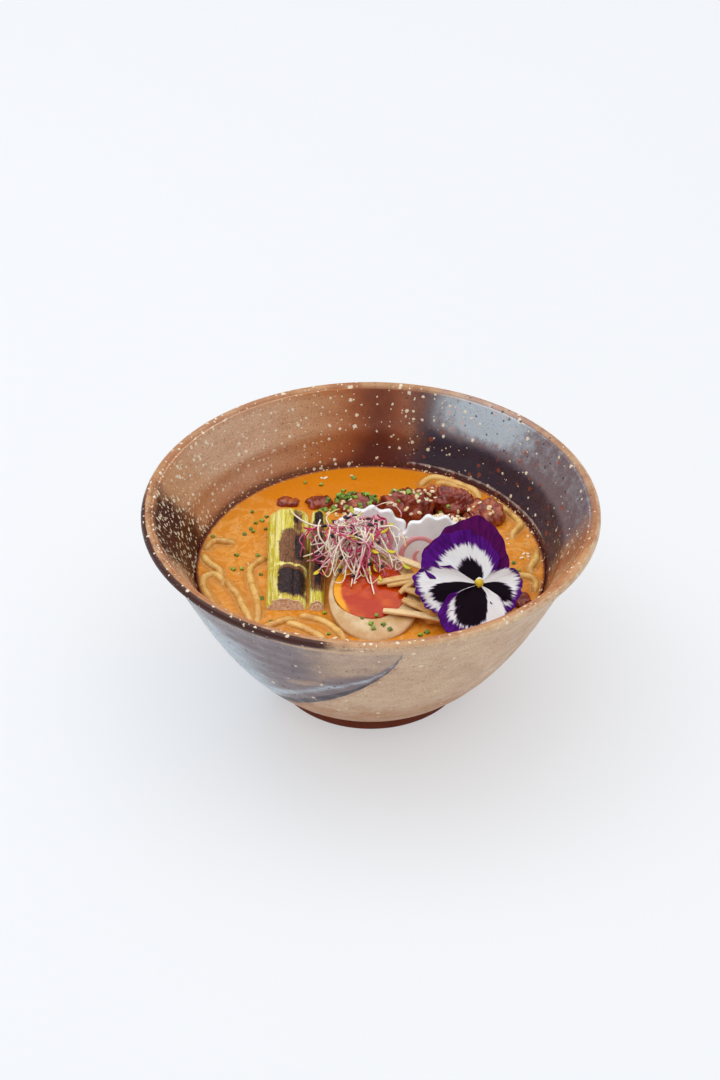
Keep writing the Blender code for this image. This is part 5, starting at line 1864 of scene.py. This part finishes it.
class RAMEN_OT_soup(bpy.types.Operator):
    """Add the soup, its bubbles and the noodles"""
    bl_idname = "ramen.soup"
    bl_label = "Soup and noodles"

    def execute(self, context):
        bowl = Bowl(context.scene.ramen_bowl)
        build_soup(context.scene.ramen_soup, bowl)
        build_noodles(context.scene.ramen_soup)
        build_bubbles(context.scene.ramen_soup, bowl)
        return {"FINISHED"}


class RAMEN_OT_leeks(bpy.types.Operator):
    """Add the two grilled lengths of leek"""
    bl_idname = "ramen.leeks"
    bl_label = "Leeks"

    def execute(self, context):
        build_leeks(context.scene.ramen_toppings)
        return {"FINISHED"}


class RAMEN_OT_egg(bpy.types.Operator):
    """Add the egg half"""
    bl_idname = "ramen.egg"
    bl_label = "Egg"

    def execute(self, context):
        build_egg(context.scene.ramen_toppings)
        return {"FINISHED"}


class RAMEN_OT_fish_cakes(bpy.types.Operator):
    """Add the two slices of fish cake"""
    bl_idname = "ramen.fish_cakes"
    bl_label = "Fish cakes"

    def execute(self, context):
        build_fish_cakes(context.scene.ramen_toppings)
        return {"FINISHED"}


class RAMEN_OT_meat(bpy.types.Operator):
    """Add the pieces of braised meat"""
    bl_idname = "ramen.meat"
    bl_label = "Meat"

    def execute(self, context):
        build_meat(context.scene.ramen_toppings)
        return {"FINISHED"}


class RAMEN_OT_bamboo(bpy.types.Operator):
    """Add the strips of bamboo shoot"""
    bl_idname = "ramen.bamboo"
    bl_label = "Bamboo shoots"

    def execute(self, context):
        build_bamboo(context.scene.ramen_toppings)
        return {"FINISHED"}


class RAMEN_OT_herbs(bpy.types.Operator):
    """Add the chives, the sesame seeds and the mound under them"""
    bl_idname = "ramen.herbs"
    bl_label = "Herbs and seeds"

    def execute(self, context):
        build_herbs(context.scene.ramen_toppings)
        return {"FINISHED"}


class RAMEN_OT_sprouts(bpy.types.Operator):
    """Add the heap of sprouts"""
    bl_idname = "ramen.sprouts"
    bl_label = "Sprouts"

    def execute(self, context):
        build_sprouts(context.scene.ramen_toppings)
        return {"FINISHED"}


class RAMEN_OT_pansy(bpy.types.Operator):
    """Add the pansy"""
    bl_idname = "ramen.pansy"
    bl_label = "Pansy"

    def execute(self, context):
        build_pansy(context.scene.ramen_flower)
        return {"FINISHED"}


OPERATORS = (
    RAMEN_OT_stage, RAMEN_OT_bowl, RAMEN_OT_soup, RAMEN_OT_leeks, RAMEN_OT_egg, RAMEN_OT_fish_cakes,
    RAMEN_OT_meat, RAMEN_OT_bamboo, RAMEN_OT_herbs, RAMEN_OT_sprouts, RAMEN_OT_pansy,
)


class RAMEN_PT_panel(bpy.types.Panel):
    """Lists the settings and the pieces in the 3D view's sidebar"""
    bl_idname = "RAMEN_PT_panel"
    bl_label = "Ramen Bowl"
    bl_space_type = "VIEW_3D"
    bl_region_type = "UI"
    bl_category = "Ramen"

    def draw(self, context):
        layout = self.layout
        for attribute in SETTINGS:
            group = getattr(context.scene, attribute)
            box = layout.box()
            for key in group.bl_rna.properties.keys():
                if key not in ("rna_type", "name"):
                    box.prop(group, key)
        for operator in OPERATORS:
            layout.operator(operator.bl_idname)


SETTINGS = {
    "ramen_bowl": BowlSettings,
    "ramen_soup": SoupSettings,
    "ramen_toppings": ToppingSettings,
    "ramen_flower": FlowerSettings,
    "ramen_stage": StageSettings,
}
CLASSES = (*SETTINGS.values(), *OPERATORS, RAMEN_PT_panel)


def register():
    """Adds the classes, and the settings to every scene."""
    for item in CLASSES:
        bpy.utils.register_class(item)
    for attribute, group in SETTINGS.items():
        setattr(bpy.types.Scene, attribute, PointerProperty(type=group))


def unregister():
    """Takes the settings and the classes away again."""
    for attribute in SETTINGS:
        delattr(bpy.types.Scene, attribute)
    for item in reversed(CLASSES):
        bpy.utils.unregister_class(item)


def main():
    for name in ("Cube", "Light", "Camera"):
        if name in bpy.data.objects:
            bpy.data.objects.remove(bpy.data.objects[name], do_unlink=True)
    register()
    for operator in OPERATORS:
        group, name = operator.bl_idname.split(".")
        getattr(getattr(bpy.ops, group), name)()


if __name__ == "__main__":
    main()
